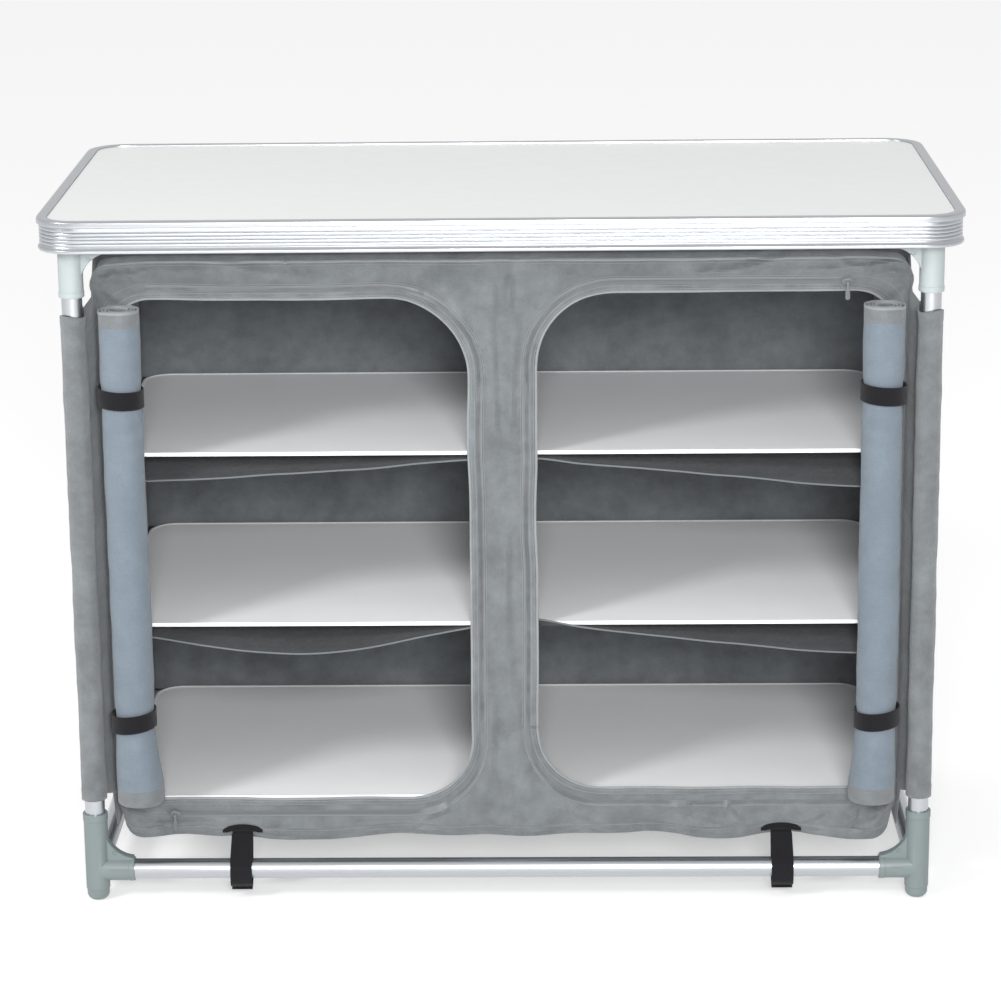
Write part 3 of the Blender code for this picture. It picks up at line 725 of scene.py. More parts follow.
def bracket_parts(kind, node):
    """Closed parts of a bracket about its leg: rails run to +X and +Y, the leg to +Z.

    The rails' axis is at z = 0. The lower kind stands on a round foot.
    """
    extent = span(node)
    radius, reach = 0.0131, 0.0420
    if kind == "bottom":
        rail_z = 0.0340
        mouth = extent[2][1] - rail_z
        foot = -rail_z
        barrel = [(0.0071, foot), (0.0091, foot + 0.0008), (0.0111, foot + 0.0028),
                  (0.0122, foot + 0.0055), (0.0123, foot + 0.0120), (0.0131, foot + 0.0127),
                  (radius, mouth - 0.0085), (0.0137, mouth - 0.0078), (0.0137, mouth - 0.0006),
                  (0.0132, mouth)]
    else:
        rail_z = extent[2][1] - radius
        mouth = rail_z - extent[2][0]
        barrel = [(0.0119, -radius), (radius, -radius + 0.0012), (radius, mouth - 0.0064),
                  (0.0136, mouth - 0.0058), (0.0136, mouth - 0.0006), (0.0131, mouth)]
    rail = [(0.0125, 0.0), (0.0129, 0.002), (0.0129, reach - 0.0062), (0.0134, reach - 0.0056),
            (0.0134, reach - 0.0006), (0.0129, reach)]
    along_x = Euler((0, math.pi / 2, 0)).to_matrix().to_4x4()
    along_y = Euler((-math.pi / 2, 0, 0)).to_matrix().to_4x4()
    web_y = Euler((0, 0, math.pi / 2)).to_matrix().to_4x4()
    parts = [capped_rod(barrel), placed(capped_rod(rail), along_x), placed(capped_rod(rail), along_y),
             web_part(reach - 0.001, 0.0110), placed(web_part(reach - 0.001, 0.0106), web_y)]
    # A raised moulding line runs along each rail socket, a little above its middle.
    for turn, outer in ((Matrix(), -1), (Matrix.Rotation(math.pi / 2, 4, "Z"), 1)):
        line = [(0.0152 + t, outer * 0.0128, 0.0030) for t in np.linspace(0, reach - 0.0175, 12)]
        parts.append(placed(tube_along(line, 0.0007, 8), turn))
    cuts = []
    for turn in (Matrix(), Matrix.Rotation(math.pi / 2, 4, "Z")):
        for face in (-1, 1):
            dent = capped_rod([(0.0004, -0.0012), (0.0020, -0.0006), (0.0027, 0.0012)], 20)
            place = Matrix.Translation((0.0205, face * 0.0052, 0.0205)) @ Euler(
                (face * -math.pi / 2, 0, 0)).to_matrix().to_4x4()
            cuts.append(placed(dent, turn @ place))
    return parts, cuts, rail_z, (-1 if kind == "top" else 1)


def build_brackets():
    for kind in ("top", "bottom"):
        slot = "bracket_light" if kind == "top" else "bracket"
        for end_word, end in ENDS.items():
            for side_word, side in SIDES.items():
                corner = f"{end_word}_{side_word}"
                node = f"{kind}_bracket_{corner}"
                leg = span("leg_" + corner)
                parts, cuts, rail_z, up = bracket_parts(kind, node)
                move = Matrix.Translation((middle(leg[0]), middle(leg[1]), rail_z)) @ Matrix.Diagonal(
                    (-side, -end, up, 1))
                bracket = merged([placed(part, move) for part in parts], MAT[slot],
                                 f"{kind}_corner_{corner}", [placed(cut, move) for cut in cuts])
                finish(bracket, replaces=node)


# ------------------------------------------------------------------- shelves
def build_shelves():
    """Loose boards with a rounded aluminium edging."""
    for level in ("lower", "middle", "upper"):
        for word in SIDES:
            node = f"shelf_board_{level}_{word}"
            body = f"shelf_{level}_{word}"
            (x0, x1), (y0, y1), (z0, z1) = span(node)

            def outline(inset):
                front, rear = 0.004 - inset * 0.4, SHELF_CORNER - inset
                return rounded_rectangle((x0 + inset, y0 + inset), (x1 - inset, y1 - inset),
                                         [front, front, rear, rear], 12)

            def settled(verts):
                """The boards lie on slack cloth, so that their front edge sits a little low."""
                verts = np.array(verts, float)
                share = (verts[:, 1] - y0) / (y1 - y0)
                verts[:, 2] += BOARD_TILT[level] * share - LOW_BOARD_DIP * (level == "lower") * (1 - share)
                return verts

            verts, faces = slab(outline, [(0.0012, z0 + 0.0002), (0.0012, z1 - 0.0002)])
            board = mesh_object(f"board_{level}_{word}", settled(verts), faces, MAT["shelf"])
            finish(board, body, node)
            levels = [(0.0052, z0 + 0.0002), (0.0050, z0), (0.0008, z0), (0.0, z0 + 0.0008),
                      (0.0, z1 - 0.0004), (0.0004, z1 + 0.0003), (0.0014, z1 + 0.0006),
                      (0.0030, z1 + 0.0003), (0.0036, z1 - 0.0001)]
            rings = [np.asarray(outline(inset), float) for inset, _ in levels]
            count = len(rings[0])
            verts = np.concatenate([np.column_stack([ring, np.full(count, z)])
                                    for ring, (_, z) in zip(rings, levels)])
            faces = [f[::-1] for f in grid_faces(len(levels), count, True, True)]
            run = line_lengths(rings[0])
            uvs = np.concatenate([np.column_stack([run, np.full(count, 0.002 * k)])
                                  for k in range(len(levels))])
            rim = mesh_object(f"edging_{level}_{word}", settled(verts), faces, MAT["edging"], uvs)
            finish(rim, body)


# --------------------------------------------------------------- front panel
def mouth(word):
    """A mouth on the front panel: (inner, outer) distance from the middle, (low, high) z."""
    x, _, z = span("zip_track_" + word)
    inner = min(abs(x[0]), abs(x[1])) + MOUTH_EDGE
    return (inner, PANEL_X[1] - MOUTH_SIDE), (z[0] + MOUTH_EDGE + MOUTH_RISE, z[1] - MOUTH_EDGE)


MOUTHS = {word: mouth(word) for word in SIDES}
HOLD_X = [middle(span("hold_strap_" + word)[0]) for word in SIDES]
ZIP_Z = {side: middle(span("zip_slider_" + word)[2]) for word, side in SIDES.items()}


def zip_run(x, z):
    """1 along the straight part of each zip, where the cloth is kept flat for the slider."""
    return sum(smooth(0.0130, 0.0070, np.abs(z - at)) * smooth(0.085, 0.105, x * side)
               * smooth(0.405, 0.385, x * side) for side, at in ZIP_Z.items())


def mouth_distance(x, z):
    """How far a point of the front panel is from the nearer mouth, negative inside it."""
    found = []
    for word, side in SIDES.items():
        (inner, outer), (low, high) = MOUTHS[word]
        across, up = x * side - (inner + outer) / 2, z - (low + high) / 2
        radius = np.where(across > 0, MOUTH_OUT_RADIUS,
                          np.where(up > 0, MOUTH_TOP_RADIUS, MOUTH_LOW_RADIUS))
        radius = np.where((across > 0) & (up > 0), MOUTH_ROLL_RADIUS, radius)
        qx = np.abs(across) - (outer - inner) / 2 + radius
        qz = np.abs(up) - (high - low) / 2 + radius
        found.append(np.minimum(np.maximum(qx, qz), 0) - radius
                     + np.hypot(np.maximum(qx, 0), np.maximum(qz, 0)))
    return np.minimum(*found)


# Tension folds: (start, end, width, height, bend), for the right half and mirrored.
CORNER_FOLDS = [
    ((0.424, 0.708), (0.270, 0.703), 0.0040, 0.0034, 0.004),
    ((0.426, 0.700), (0.330, 0.686), 0.0045, 0.0040, -0.003),
    ((0.424, 0.690), (0.385, 0.660), 0.0040, 0.0030, 0.002),
    ((0.300, 0.712), (0.120, 0.690), 0.0055, 0.0026, 0.005),
    ((0.034, 0.600), (0.150, 0.700), 0.0065, 0.0038, 0.014),
    ((0.018, 0.560), (0.070, 0.712), 0.0060, 0.0034, 0.008),
    ((0.006, 0.520), (0.012, 0.716), 0.0065, 0.0026, -0.003),
    ((0.022, 0.470), (0.026, 0.250), 0.0050, 0.0020, 0.003),
    ((0.004, 0.420), (0.010, 0.180), 0.0060, 0.0024, -0.004),
    ((0.030, 0.180), (0.120, 0.080), 0.0065, 0.0036, -0.012),
    ((0.014, 0.220), (0.034, 0.066), 0.0060, 0.0030, -0.004),
    ((0.180, 0.094), (0.330, 0.076), 0.0050, 0.0028, -0.003),
    ((0.420, 0.098), (0.330, 0.070), 0.0048, 0.0036, 0.004),
    ((0.426, 0.112), (0.400, 0.064), 0.0040, 0.0030, 0.002),
    ((0.392, 0.706), (0.376, 0.684), 0.0038, 0.0034, 0.001),
    ((0.404, 0.710), (0.420, 0.682), 0.0038, 0.0036, -0.001),
    ((0.386, 0.704), (0.340, 0.712), 0.0036, 0.0030, 0.001),
    ((0.230, 0.713), (0.205, 0.690), 0.0040, 0.0020, 0.001),
    ((0.330, 0.690), (0.180, 0.688), 0.0036, 0.0018, 0.001),
    ((0.010, 0.700), (0.004, 0.640), 0.0045, 0.0022, 0.001),
    ((0.388, 0.096), (0.372, 0.070), 0.0040, 0.0034, 0.001),
    ((0.352, 0.092), (0.310, 0.072), 0.0040, 0.0026, 0.002),
    ((0.240, 0.096), (0.268, 0.070), 0.0036, 0.0026, 0.001),
    ((0.060, 0.098), (0.110, 0.070), 0.0040, 0.0026, 0.002),
]


def front_bulge(x, z):
    """How far the front panel's cloth stands forward of its flat plane."""
    rise = 0.0018 + 0.0016 * rumple(x, z, 0.085, 3) + 0.0010 * rumple(x, z, 0.030, 9)
    rise = rise + 0.0004 * rumple(x, z, 0.012, 15)
    for k, (start, end, width, height, bend) in enumerate(CORNER_FOLDS):
        for side in (-1, 1):
            vary = 1.0 + 0.35 * math.sin(2.3 * k + side)
            slip = 0.004 * math.sin(1.7 * k + 2 * side)
            rise = rise + fold(x * side, z, (start[0], start[1] + slip), (end[0], end[1] - slip),
                               width, 1.8 * height * vary, bend * vary)
    skirt = 1 - smooth(PANEL_Z[0], PANEL_Z[0] + 0.045, z)
    rise = rise + skirt * (0.0026 * np.sin(x * 57 + 1.2 * np.sin(x * 9)) + 0.0016)
    away = mouth_distance(x, z)
    rise = rise * (0.35 + 0.65 * smooth(0.011, 0.030, away))
    pucker = smooth(0.0, 0.004, away) * (1 - smooth(0.012, 0.040, away))
    rise = rise + pucker * (0.0009 * noise(x, z, 0.0085, 17) + 0.0004)
    edge = 0.25 + 0.75 * smooth(0, 0.012, PANEL_X[1] - np.abs(x))
    under_strap = smooth(0.10, 0.08, z) * sum(np.exp(-((x - at) / 0.024) ** 4) for at in HOLD_X)
    rise = np.maximum(rise * edge * (1 - 0.85 * under_strap), 0.0)
    return 0.0085 * np.tanh(rise / 0.0085) * (1 - zip_run(x, z))


def rounded_off(x, radius):
    """How far a corner of that radius is cut away at x."""
    share = np.clip((np.abs(x) - PANEL_X[1] + radius) / radius, 0, 1)
    return radius * (1 - np.sqrt(1 - share ** 2))


def on_front(x, z, lift=0.0):
    """Points of the front panel's outer face: rounded corners, turned-back edges, a wavy hem."""
    low, high = PANEL_Z
    side, outer = np.sign(x), smooth(0.34, PANEL_X[1], np.abs(x))
    ear = smooth(0.652, 0.700, z) * (1 - 0.9 * smooth(0.708, high, z))
    foot = 1 - smooth(low, 0.105, z)
    warp_x, warp_z = (0.0013 * noise(x, z, 0.075, seed) for seed in (31, 33))
    held = smooth(0, 0.02, PANEL_X[1] - np.abs(x)) * smooth(0, 0.02, high - z)
    strap = sum(np.exp(-((x - at) / 0.030) ** 2) for at in HOLD_X)
    hem = foot * (0.0046 * noise(x, 0 * x, 0.080, 21) + 0.0030 * strap)
    up = (hem + foot * rounded_off(x, 0.024) + warp_z * held
          - smooth(high - 0.055, high, z) * rounded_off(x, 0.018)
          - smooth(0.690, high, z) * outer ** 3 * 0.0030)
    move = side * outer * (0.0064 * ear - 0.0050 * foot) + warp_x * held
    back = (0.0045 * smooth(PANEL_X[1] - 0.009, PANEL_X[1], np.abs(x)) ** 2
            + 0.0030 * (1 - smooth(low, low + 0.007, z)) + 0.0030 * smooth(high - 0.006, high, z))
    free = 1 - zip_run(x, z)
    return np.stack([x + move * free, PANEL_Y[0] - front_bulge(x, z) + back - lift, z + up * free], -1)


def build_front_panel():
    """One sheet with two D-shaped mouths, its cut edges snapped to their outlines."""
    step = 0.0025
    columns = int((PANEL_X[1] - PANEL_X[0]) / step) + 1
    rows = int((PANEL_Z[1] - PANEL_Z[0]) / step) + 1
    x, z = np.meshgrid(np.linspace(*PANEL_X, columns), np.linspace(*PANEL_Z, rows), indexing="ij")
    x, z = x.ravel(), z.ravel()
    away = mouth_distance(x, z)
    nudge = 0.0002
    slope_x = (mouth_distance(x + nudge, z) - mouth_distance(x - nudge, z)) / (2 * nudge)
    slope_z = (mouth_distance(x, z + nudge) - mouth_distance(x, z - nudge)) / (2 * nudge)
    snap = np.abs(away) < step / 2
    flat_x = np.where(snap, x - away * slope_x, x)
    flat_z = np.where(snap, z - away * slope_z, z)
    faces = grid_faces(columns, rows)
    faces = faces[(away[faces] > -step / 2).all(1)]
    used = np.unique(faces)
    renumber = np.full(len(x), -1)
    renumber[used] = np.arange(len(used))
    uvs = np.column_stack([flat_x, flat_z])[used]
    panel = mesh_object("panel_front", on_front(flat_x, flat_z)[used], renumber[faces],
                        MAT["cloth"], uvs)
    solidify(panel, CLOTH_THICK, -1)
    return finish(panel, replaces="front_panel")


def mouth_outline(word):
    """A mouth's outline as (x, z), anticlockwise seen from the front."""
    (inner, outer), (low, high) = MOUTHS[word]
    top, bottom, out, roll = MOUTH_TOP_RADIUS, MOUTH_LOW_RADIUS, MOUTH_OUT_RADIUS, MOUTH_ROLL_RADIUS
    if SIDES[word] > 0:
        return rounded_rectangle((inner, low), (outer, high), [bottom, out, roll, top], 18)
    return rounded_rectangle((-outer, low), (-inner, high), [out, bottom, top, roll], 18)


def front_panel_cut():
    """The front panel's flat (width, length) with its hems, and the area cut without its mouths."""
    width = PANEL_X[1] - PANEL_X[0] + 2 * SEAM_ALLOWANCE
    length = PANEL_Z[1] - PANEL_Z[0] + SEAM_ALLOWANCE + SKIRT_HEM
    area = width * length
    for word in SIDES:
        outline = np.array(mouth_outline(word))
        after = np.roll(outline, -1, 0)
        inside = abs(np.sum(outline[:, 0] * after[:, 1] - after[:, 0] * outline[:, 1])) / 2
        round_it = np.linalg.norm(after - outline, axis=1).sum()
        area -= inside - MOUTH_HEM * round_it + math.pi * MOUTH_HEM ** 2
    return (width, length), area


def zip_path(word):
    """The zip's line as (x, z), from its lower outer end round the post to its upper end."""
    (inner, _), (low, high) = MOUTHS[word]
    low, high, inner = low - MOUTH_RISE - ZIP_LINE, high + ZIP_LINE, inner - ZIP_LINE
    top, bottom = MOUTH_TOP_RADIUS + ZIP_LINE, MOUTH_LOW_RADIUS + ZIP_LINE
    end = max(abs(v) for v in span("zip_track_" + word)[0])
    line = ([(end, low)] + arc((inner + bottom, low + bottom), bottom, 270, 180, 18)
            + arc((inner + top, high - top), top, 180, 90, 18) + [(end, high)])
    return np.array([(SIDES[word] * x, z) for x, z in line])


def band_on_front(name, path, outward, section, mats, closed, face_mats=None):
    """A closed strip laid on the front panel: section is (distance out from the path, lift)."""
    section = np.array(section)
    flat = path[:, None, :] + outward[:, None, :] * section[None, :, :1]
    lift = np.broadcast_to(section[None, :, 1], flat.shape[:2])
    verts = on_front(flat[..., 0], flat[..., 1], lift).reshape(-1, 3)
    count = len(section)
    faces = [list(f) for f in grid_faces(len(path), count, closed, True)]
    if not closed:
        faces.append(list(range(count))[::-1])
        faces.append([(len(path) - 1) * count + k for k in range(count)])
    run = line_lengths(path)
    uvs = np.stack(np.meshgrid(run, line_lengths(section), indexing="ij"), -1).reshape(-1, 2)
    if face_mats is not None:
        face_mats = [face_mats[k % count] for k in range(len(path) * count)][:len(faces)]
    return outward_faces(mesh_object(name, verts, faces, mats, uvs, face_mats))


def outward_faces(obj):
    """Turn every face of a closed mesh outwards."""
    mesh = bmesh.new()
    mesh.from_mesh(obj.data)
    bmesh.ops.recalc_face_normals(mesh, faces=mesh.faces)
    mesh.to_mesh(obj.data)
    mesh.free()
    return obj


def row_of(points, along, across, up, size, pitch, taper=0.8):
    """Small blocks set along a line: stitches or zip teeth. All directions are per point."""
    run = line_lengths(points)
    count = max(1, int(run[-1] / pitch))
    stops = (np.arange(count) + 0.5) * run[-1] / count
    place, t, n, b = (np.stack([np.interp(stops, run, values[:, k]) for k in range(3)], 1)
                      for values in (points, along, across, up))
    t, n, b = (v / np.linalg.norm(v, axis=1)[:, None] for v in (t, n, b))
    verts = []
    for high, scale in ((0, 1.0), (size[2], taper)):
        for i, j in ((-1, -1), (1, -1), (1, 1), (-1, 1)):
            verts.append(place + t * (i * size[0] / 2 * scale) + n * (j * size[1] / 2 * scale)
                         + b * high)
    verts = np.stack(verts, 1).reshape(-1, 3)
    block = np.array([(3, 2, 1, 0), (4, 5, 6, 7), (0, 1, 5, 4), (1, 2, 6, 5), (2, 3, 7, 6),
                      (3, 0, 4, 7)])
    faces = (np.arange(count)[:, None, None] * 8 + block[None]).reshape(-1, 4)
    return verts, faces


def row_on_front(path, lift, size, pitch, taper=0.8):
    points = on_front(path[:, 0], path[:, 1], lift)
    along = np.gradient(points, axis=0)
    up = np.tile([0.0, -1.0, 0.0], (len(points), 1))
    return row_of(points, along, np.cross(along, up), up, size, pitch, taper)


STITCH = (0.0021, 0.00055, 0.0003)
STITCH_PITCH = 0.0031


def build_front_trimmings():
    """Bound mouths, zips, hems, piping and the stitches that hold them."""
    stitches = []
    for word, side in SIDES.items():
        path = resampled(mouth_outline(word), 0.0035, True)
        outward = -line_normals(path, True)
        section = [(-0.0004, -0.0014), (-0.0010, -0.0002), (-0.0007, 0.0007), (0.0001, 0.0011),
                   (0.0010, 0.0009), (0.0016, 0.0002), (0.0022, 0.0006), (0.0045, 0.0010),
                   (0.0070, 0.0008), (MOUTH_HEM, 0.0003), (MOUTH_HEM, -0.0003), (0.0030, -0.0004),
                   (0.0020, -0.0014)]
        slots = [1] * 5 + [0] * 8
        band = band_on_front("mouth_binding_" + word, path, outward, section,
                             [MAT["cloth"], MAT["binding"]], True, slots)
        finish(band)
        for out, lift in ((0.0030, 0.0008), (0.0068, 0.0008), (0.0165, 0.0003)):
            stitches.append(row_on_front(path + outward * out, lift, STITCH, STITCH_PITCH))

        track = resampled(zip_path(word), 0.0035)
        outside = line_normals(track) * side
        tape = [(-0.0026, -0.0002), (-0.0026, 0.0003), (0.0046, 0.0003), (0.0050, -0.0002)]
        finish(band_on_front("zip_tape_" + word, track, outside, tape, MAT["zip"], False))
        teeth = mesh_object("zip_teeth_" + word,
                            *row_on_front(track, 0.0003, (0.00085, 0.0036, 0.0008), 0.0016, 0.7),
                            MAT["zip"])
        finish(teeth, replaces="zip_track_" + word)
        stitches.append(row_on_front(track + outside * 0.0040, 0.0003, STITCH, STITCH_PITCH))

    seam = [(-0.0012, 0.0), (-0.0007, 0.0011), (0.0004, 0.0013), (0.0012, 0.0006), (0.0010, -0.0006)]
    for word, side in SIDES.items():
        z = np.arange(PANEL_Z[0] + 0.026, PANEL_Z[1] - 0.018, 0.004)
        edge = np.column_stack([np.full(len(z), side * (PANEL_X[1] - 0.0010)), z])
        finish(band_on_front("front_seam_" + word, edge, np.tile([side, 0.0], (len(z), 1)), seam,
                             MAT["cloth"], False))

    across = np.column_stack([np.linspace(*PANEL_X, 230), np.full(230, PANEL_Z[0])])
    upward = np.tile([0.0, 1.0], (230, 1))
    hem = [(-0.0008, -0.0012), (-0.0012, 0.0), (-0.0006, 0.0009), (0.0010, 0.0011),
           (0.0118, 0.0008), (SKIRT_HEM, 0.0003), (SKIRT_HEM, -0.0003), (0.0010, -0.0014)]
    finish(band_on_front("skirt_hem", across, upward, hem, MAT["cloth"], False))
    stitches.append(row_on_front(across + (0, 0.0106), 0.0008, STITCH, STITCH_PITCH))
    tuck = [(-0.0016, 0.0), (-0.0010, 0.0013), (0.0002, 0.0017), (0.0014, 0.0011), (0.0018, 0.0),
            (0.0, -0.0006)]
    top = across + (0, PANEL_Z[1] - PANEL_Z[0] - 0.0085)
    finish(band_on_front("top_piping", top, upward, tuck, MAT["binding"], False))
    stitches.append(row_on_front(top - (0, 0.0040), 0.0002, STITCH, STITCH_PITCH))
    finish(mesh_object("front_stitches", *joined(stitches), MAT["thread"]))


# -------------------------------------------------------- the other panels
def cloth_grid(name, width, height, place, slot="cloth", step=0.006, thickness=CLOTH_THICK):
    """A sheet cut width by height: place(u, v) puts its flat points in space."""
    columns, rows = int(width / step) + 2, int(height / step) + 2
    u, v = np.meshgrid(np.linspace(0, width, columns), np.linspace(0, height, rows), indexing="ij")
    verts = np.stack(np.broadcast_arrays(*place(u, v)), -1).reshape(-1, 3)
    uvs = np.stack([u, v], -1).reshape(-1, 2)
    sheet = mesh_object(name, verts, grid_faces(columns, rows), MAT[slot], uvs)
    return solidify(sheet, thickness)


def at_run(points, run):
    """The point and the left normal of a flat line at each run along it."""
    points = resampled(points, 0.002)
    lengths = line_lengths(points)
    normals = line_normals(points)
    where = [np.interp(run, lengths, points[:, k]) for k in (0, 1)]
    facing = [np.interp(run, lengths, normals[:, k]) for k in (0, 1)]
    return where, facing


def seam_cord(name, points, radius=0.0013, slot="binding", step=0.006, body="frame"):
    """Piping sewn into a seam."""
    cord = mesh_object(name, *tube_along(resampled(points, step), radius), MAT[slot])
    return finish(outward_faces(cord), body)


def build_back_panel():
    low = span("back_panel")[2][0]
    edge, height = WALL_X + 0.0004, PANEL_Z[1] - low
    width = 2 * edge
    levels = [span(f"shelf_board_{level}_left")[2][0] for level in ("lower", "middle", "upper")]

    def billow(x, z):
        """How far the cloth stands out behind; it is held at the shelves and the divider."""
        held = np.ones_like(x)
        for level in levels:
            held = held * smooth(0, 0.05, np.abs(z - level))
        held = held * smooth(0, 0.06, np.abs(x)) * smooth(0, 0.05, PANEL_X[1] - np.abs(x))
        held = held * smooth(0, 0.04, PANEL_Z[1] - z)
        soft = 0.0015 + 0.0012 * rumple(x, z, 0.07, 41) + 0.0006 * rumple(x, z, 0.025, 47)
        return soft * (0.35 + 0.65 * held) + 0.0055 * held + fold(
            np.abs(x), z, (0.42, 0.49), (0.20, 0.36), 0.009, 0.003) + fold(
            np.abs(x), z, (0.42, 0.70), (0.16, 0.56), 0.010, 0.0035, 0.02)

    def place(u, v):
        x, z = u - edge, low + v
        return x, BACK_Y[0] + CLOTH_THICK + billow(x, z), z

    panel = cloth_grid("panel_back", width, height, place)
    for word, z in (("hem", low + 0.001), ("upper", levels[2]), ("middle", levels[1]),
                    ("lower", levels[0])):
        x = np.linspace(*PANEL_X, 120)
        y = BACK_Y[0] + 2 * CLOTH_THICK + billow(x, np.full(120, z))
        seam_cord("back_seam_" + word, np.column_stack([x, y, np.full(120, z)]), 0.0011)
    finish(panel, replaces="back_panel")


def build_roof_and_floor():
    base = span("roof_panel")[2][0] + CLOTH_THICK
    width = 2 * WALL_X
    deep = PANEL_Y[0] + 0.0008, BACK_Y[1]

    def roof_place(u, v):
        x, y = u - width / 2, deep[0] + v
        held = smooth(0, 0.05, np.abs(x)) * smooth(0, 0.04, width / 2 - np.abs(x))
        held = held * smooth(0, 0.04, v) * smooth(0, 0.04, deep[1] - deep[0] - v)
        return x, y, base + 0.0008 * rumple(x, y, 0.06, 61) * held - 0.0045 * held

    roof = cloth_grid("panel_roof", width, deep[1] - deep[0], roof_place, step=0.008)
    finish(roof, replaces="roof_panel")

    for word, end in ENDS.items():
        rail = span("top_rail_" + word)
        centre = middle(rail[1]) * end, middle(rail[2])
        half = 0.402
        around = arc(centre, 0.0130, 228, -55, 40)
        edge = (abs(deep[0] if end < 0 else deep[1]) - 0.001, base + 0.0006)
        line = np.array([edge] + around)
        length = line_lengths(resampled(line, 0.002))[-1]

        def flap_place(u, v):
            (y, z), (ny, nz) = at_run(line, v)
            x = u - half
            soft = 0.0002 * rumple(x, v, 0.05, 65) + 0.0010 * smooth(0.0, 0.010, v) * (
                1 - smooth(0.010, 0.024, v)) * rumple(x, v, 0.04, 66)
            return x, (y + ny * soft) * end, z + nz * soft

        flap = cloth_grid("rail_flap_" + word, 2 * half, length, flap_place, step=0.0035,
                          thickness=HEM_THICK)
        finish(flap)

    floor_x, floor_y, floor_z = span("floor_panel")

    def floor_place(u, v):
        x, y = floor_x[0] + u, floor_y[0] + v
        held = smooth(0, 0.03, np.abs(x)) * smooth(0, 0.03, floor_x[1] - np.abs(x))
        held = held * smooth(0, 0.03, v) * smooth(0, 0.03, floor_y[1] - floor_y[0] - v)
        sag = 0.0030 + 0.0012 * rumple(x, y, 0.08, 71)
        dip = (LOW_BOARD_DIP + 0.0012) * (floor_y[1] - y) / (floor_y[1] - floor_y[0])
        return x, y, floor_z[1] - CLOTH_THICK - sag * held - dip

    size = floor_x[1] - floor_x[0], floor_y[1] - floor_y[0]
    floor = cloth_grid("panel_floor", *size, floor_place, step=0.008)
    finish(floor, replaces="floor_panel")

    _, wall_y, wall_z = span("centre_divider")
    size = wall_y[1] - wall_y[0], wall_z[1] - wall_z[0]
    divider = cloth_grid(
        "divider", *size, lambda u, v: (0.0016 * rumple(u, v, 0.07, 75), wall_y[0] + u, wall_z[0] + v))
    finish(divider, replaces="centre_divider")


def build_sides():
    """Side walls with the slanted webs that tie them to their legs, and the leg sleeves."""
    for word, side in SIDES.items():
        wall_z = span("side_panel_" + word)[2]
        wall_x = WALL_X - CLOTH_THICK / 2
        sleeve = {e: span(f"leg_sleeve_{e}_{word}") for e in ENDS}
        leg = {e: (abs(middle(sleeve[e][0])), middle(sleeve[e][1])) for e in ENDS}
        radius = (sleeve["front"][0][1] - sleeve["front"][0][0]) / 2
        roots = {"front": (wall_x, PANEL_Y[1] + 0.0036), "rear": (wall_x, BACK_Y[0] + 0.0022)}
        tips = {}
        for e in ENDS:
            away = np.array(leg[e]) - roots[e]
            tips[e] = tuple(np.array(leg[e]) - away / np.linalg.norm(away) * (radius + 0.0002))
        line = np.array([tips["front"], roots["front"], roots["rear"], tips["rear"]])
        runs = line_lengths(line)
        length = line_lengths(resampled(line, 0.002))[-1]
        height = wall_z[1] - wall_z[0]
        low, high = sleeve["front"][2]

        def place(u, v):
            (x, y), (nx, ny) = at_run(line, u)
            on_web = np.maximum(1 - smooth(runs[1] - 0.006, runs[1], u),
                                smooth(runs[2], runs[2] + 0.006, u))
            slant = 0.016 * np.clip(np.minimum(u, length - u) / runs[1], 0, 1)
            bottom = wall_z[0] * (1 - on_web) + (low - slant * 0.3) * on_web
            top = wall_z[1] * (1 - on_web) + (high + slant) * on_web
            z = bottom + (top - bottom) * v / height
            held = smooth(0, 0.05, u - runs[1]) * smooth(0, 0.05, runs[2] - u) * (
                smooth(0.03, 0.12, wall_z[1] - z))
            soft = held * (0.0016 * np.sin(math.pi * np.clip((z - wall_z[0]) / height, 0, 1))
                           + 0.0009 * rumple(u, z, 0.07, 83 + side))
            soft = soft + held * (fold(u, z, (0.06, 0.70), (0.22, 0.40), 0.010, 0.0026, 0.02)
                                  + fold(u, z, (0.36, 0.12), (0.20, 0.34), 0.010, 0.0024, -0.02))
            soft = soft + on_web * 0.0005 * rumple(u, z, 0.035, 87)
            return (x - nx * soft) * side, y - ny * soft, z

        wall = cloth_grid("wall_" + word, length, height, place, step=0.0055)
        finish(wall, replaces="side_panel_" + word)
        x, y = side * (PANEL_X[1] + 0.0012), BACK_Y[1] + 0.0002
        seam_cord("rear_seam_" + word,
                               [(x, y, wall_z[0] - 0.004), (x, y, wall_z[1] - 0.012)], 0.0013, "cloth")

        for e in ENDS:
            (cx, cy), (z0, z1) = leg[e], sleeve[e][2]
            to_root = math.atan2(roots[e][1] - cy, roots[e][0] - cx)
            around = 2 * math.pi * (radius - 0.0003)

            def sleeve_place(u, v, cx=cx, cy=cy, z0=z0, z1=z1, to_root=to_root):
                angle = to_root + u / around * 2 * math.pi
                off = np.abs((angle - to_root + math.pi) % (2 * math.pi) - math.pi)
                seam = 1 - smooth(0.0, 0.9, off)
                top = z1 - 0.0020 + 0.0075 * seam ** 2 + 0.0014 * np.cos(2 * off)
                z = z0 - 0.002 * seam + (top - z0) * v / (z1 - z0)
                ends = np.minimum(z - z0, top - z)
                band = 0.0004 * (1 - smooth(0.010, 0.012, ends))
                soft = 0.0007 * rumple(u + cx, z, 0.045, 91) + 0.0004 * rumple(u + cx, z, 0.016, 93)
                r = radius + 0.0004 + band + 0.0022 * seam ** 2 + np.maximum(soft, -0.0008)
                return (cx + r * np.cos(angle)) * side, cy + r * np.sin(angle), z

            sheet = cloth_grid(f"sleeve_{e}_{word}", around, z1 - z0, sleeve_place, step=0.0035,
                               thickness=HEM_THICK)
            finish(sheet, replaces=f"leg_sleeve_{e}_{word}")


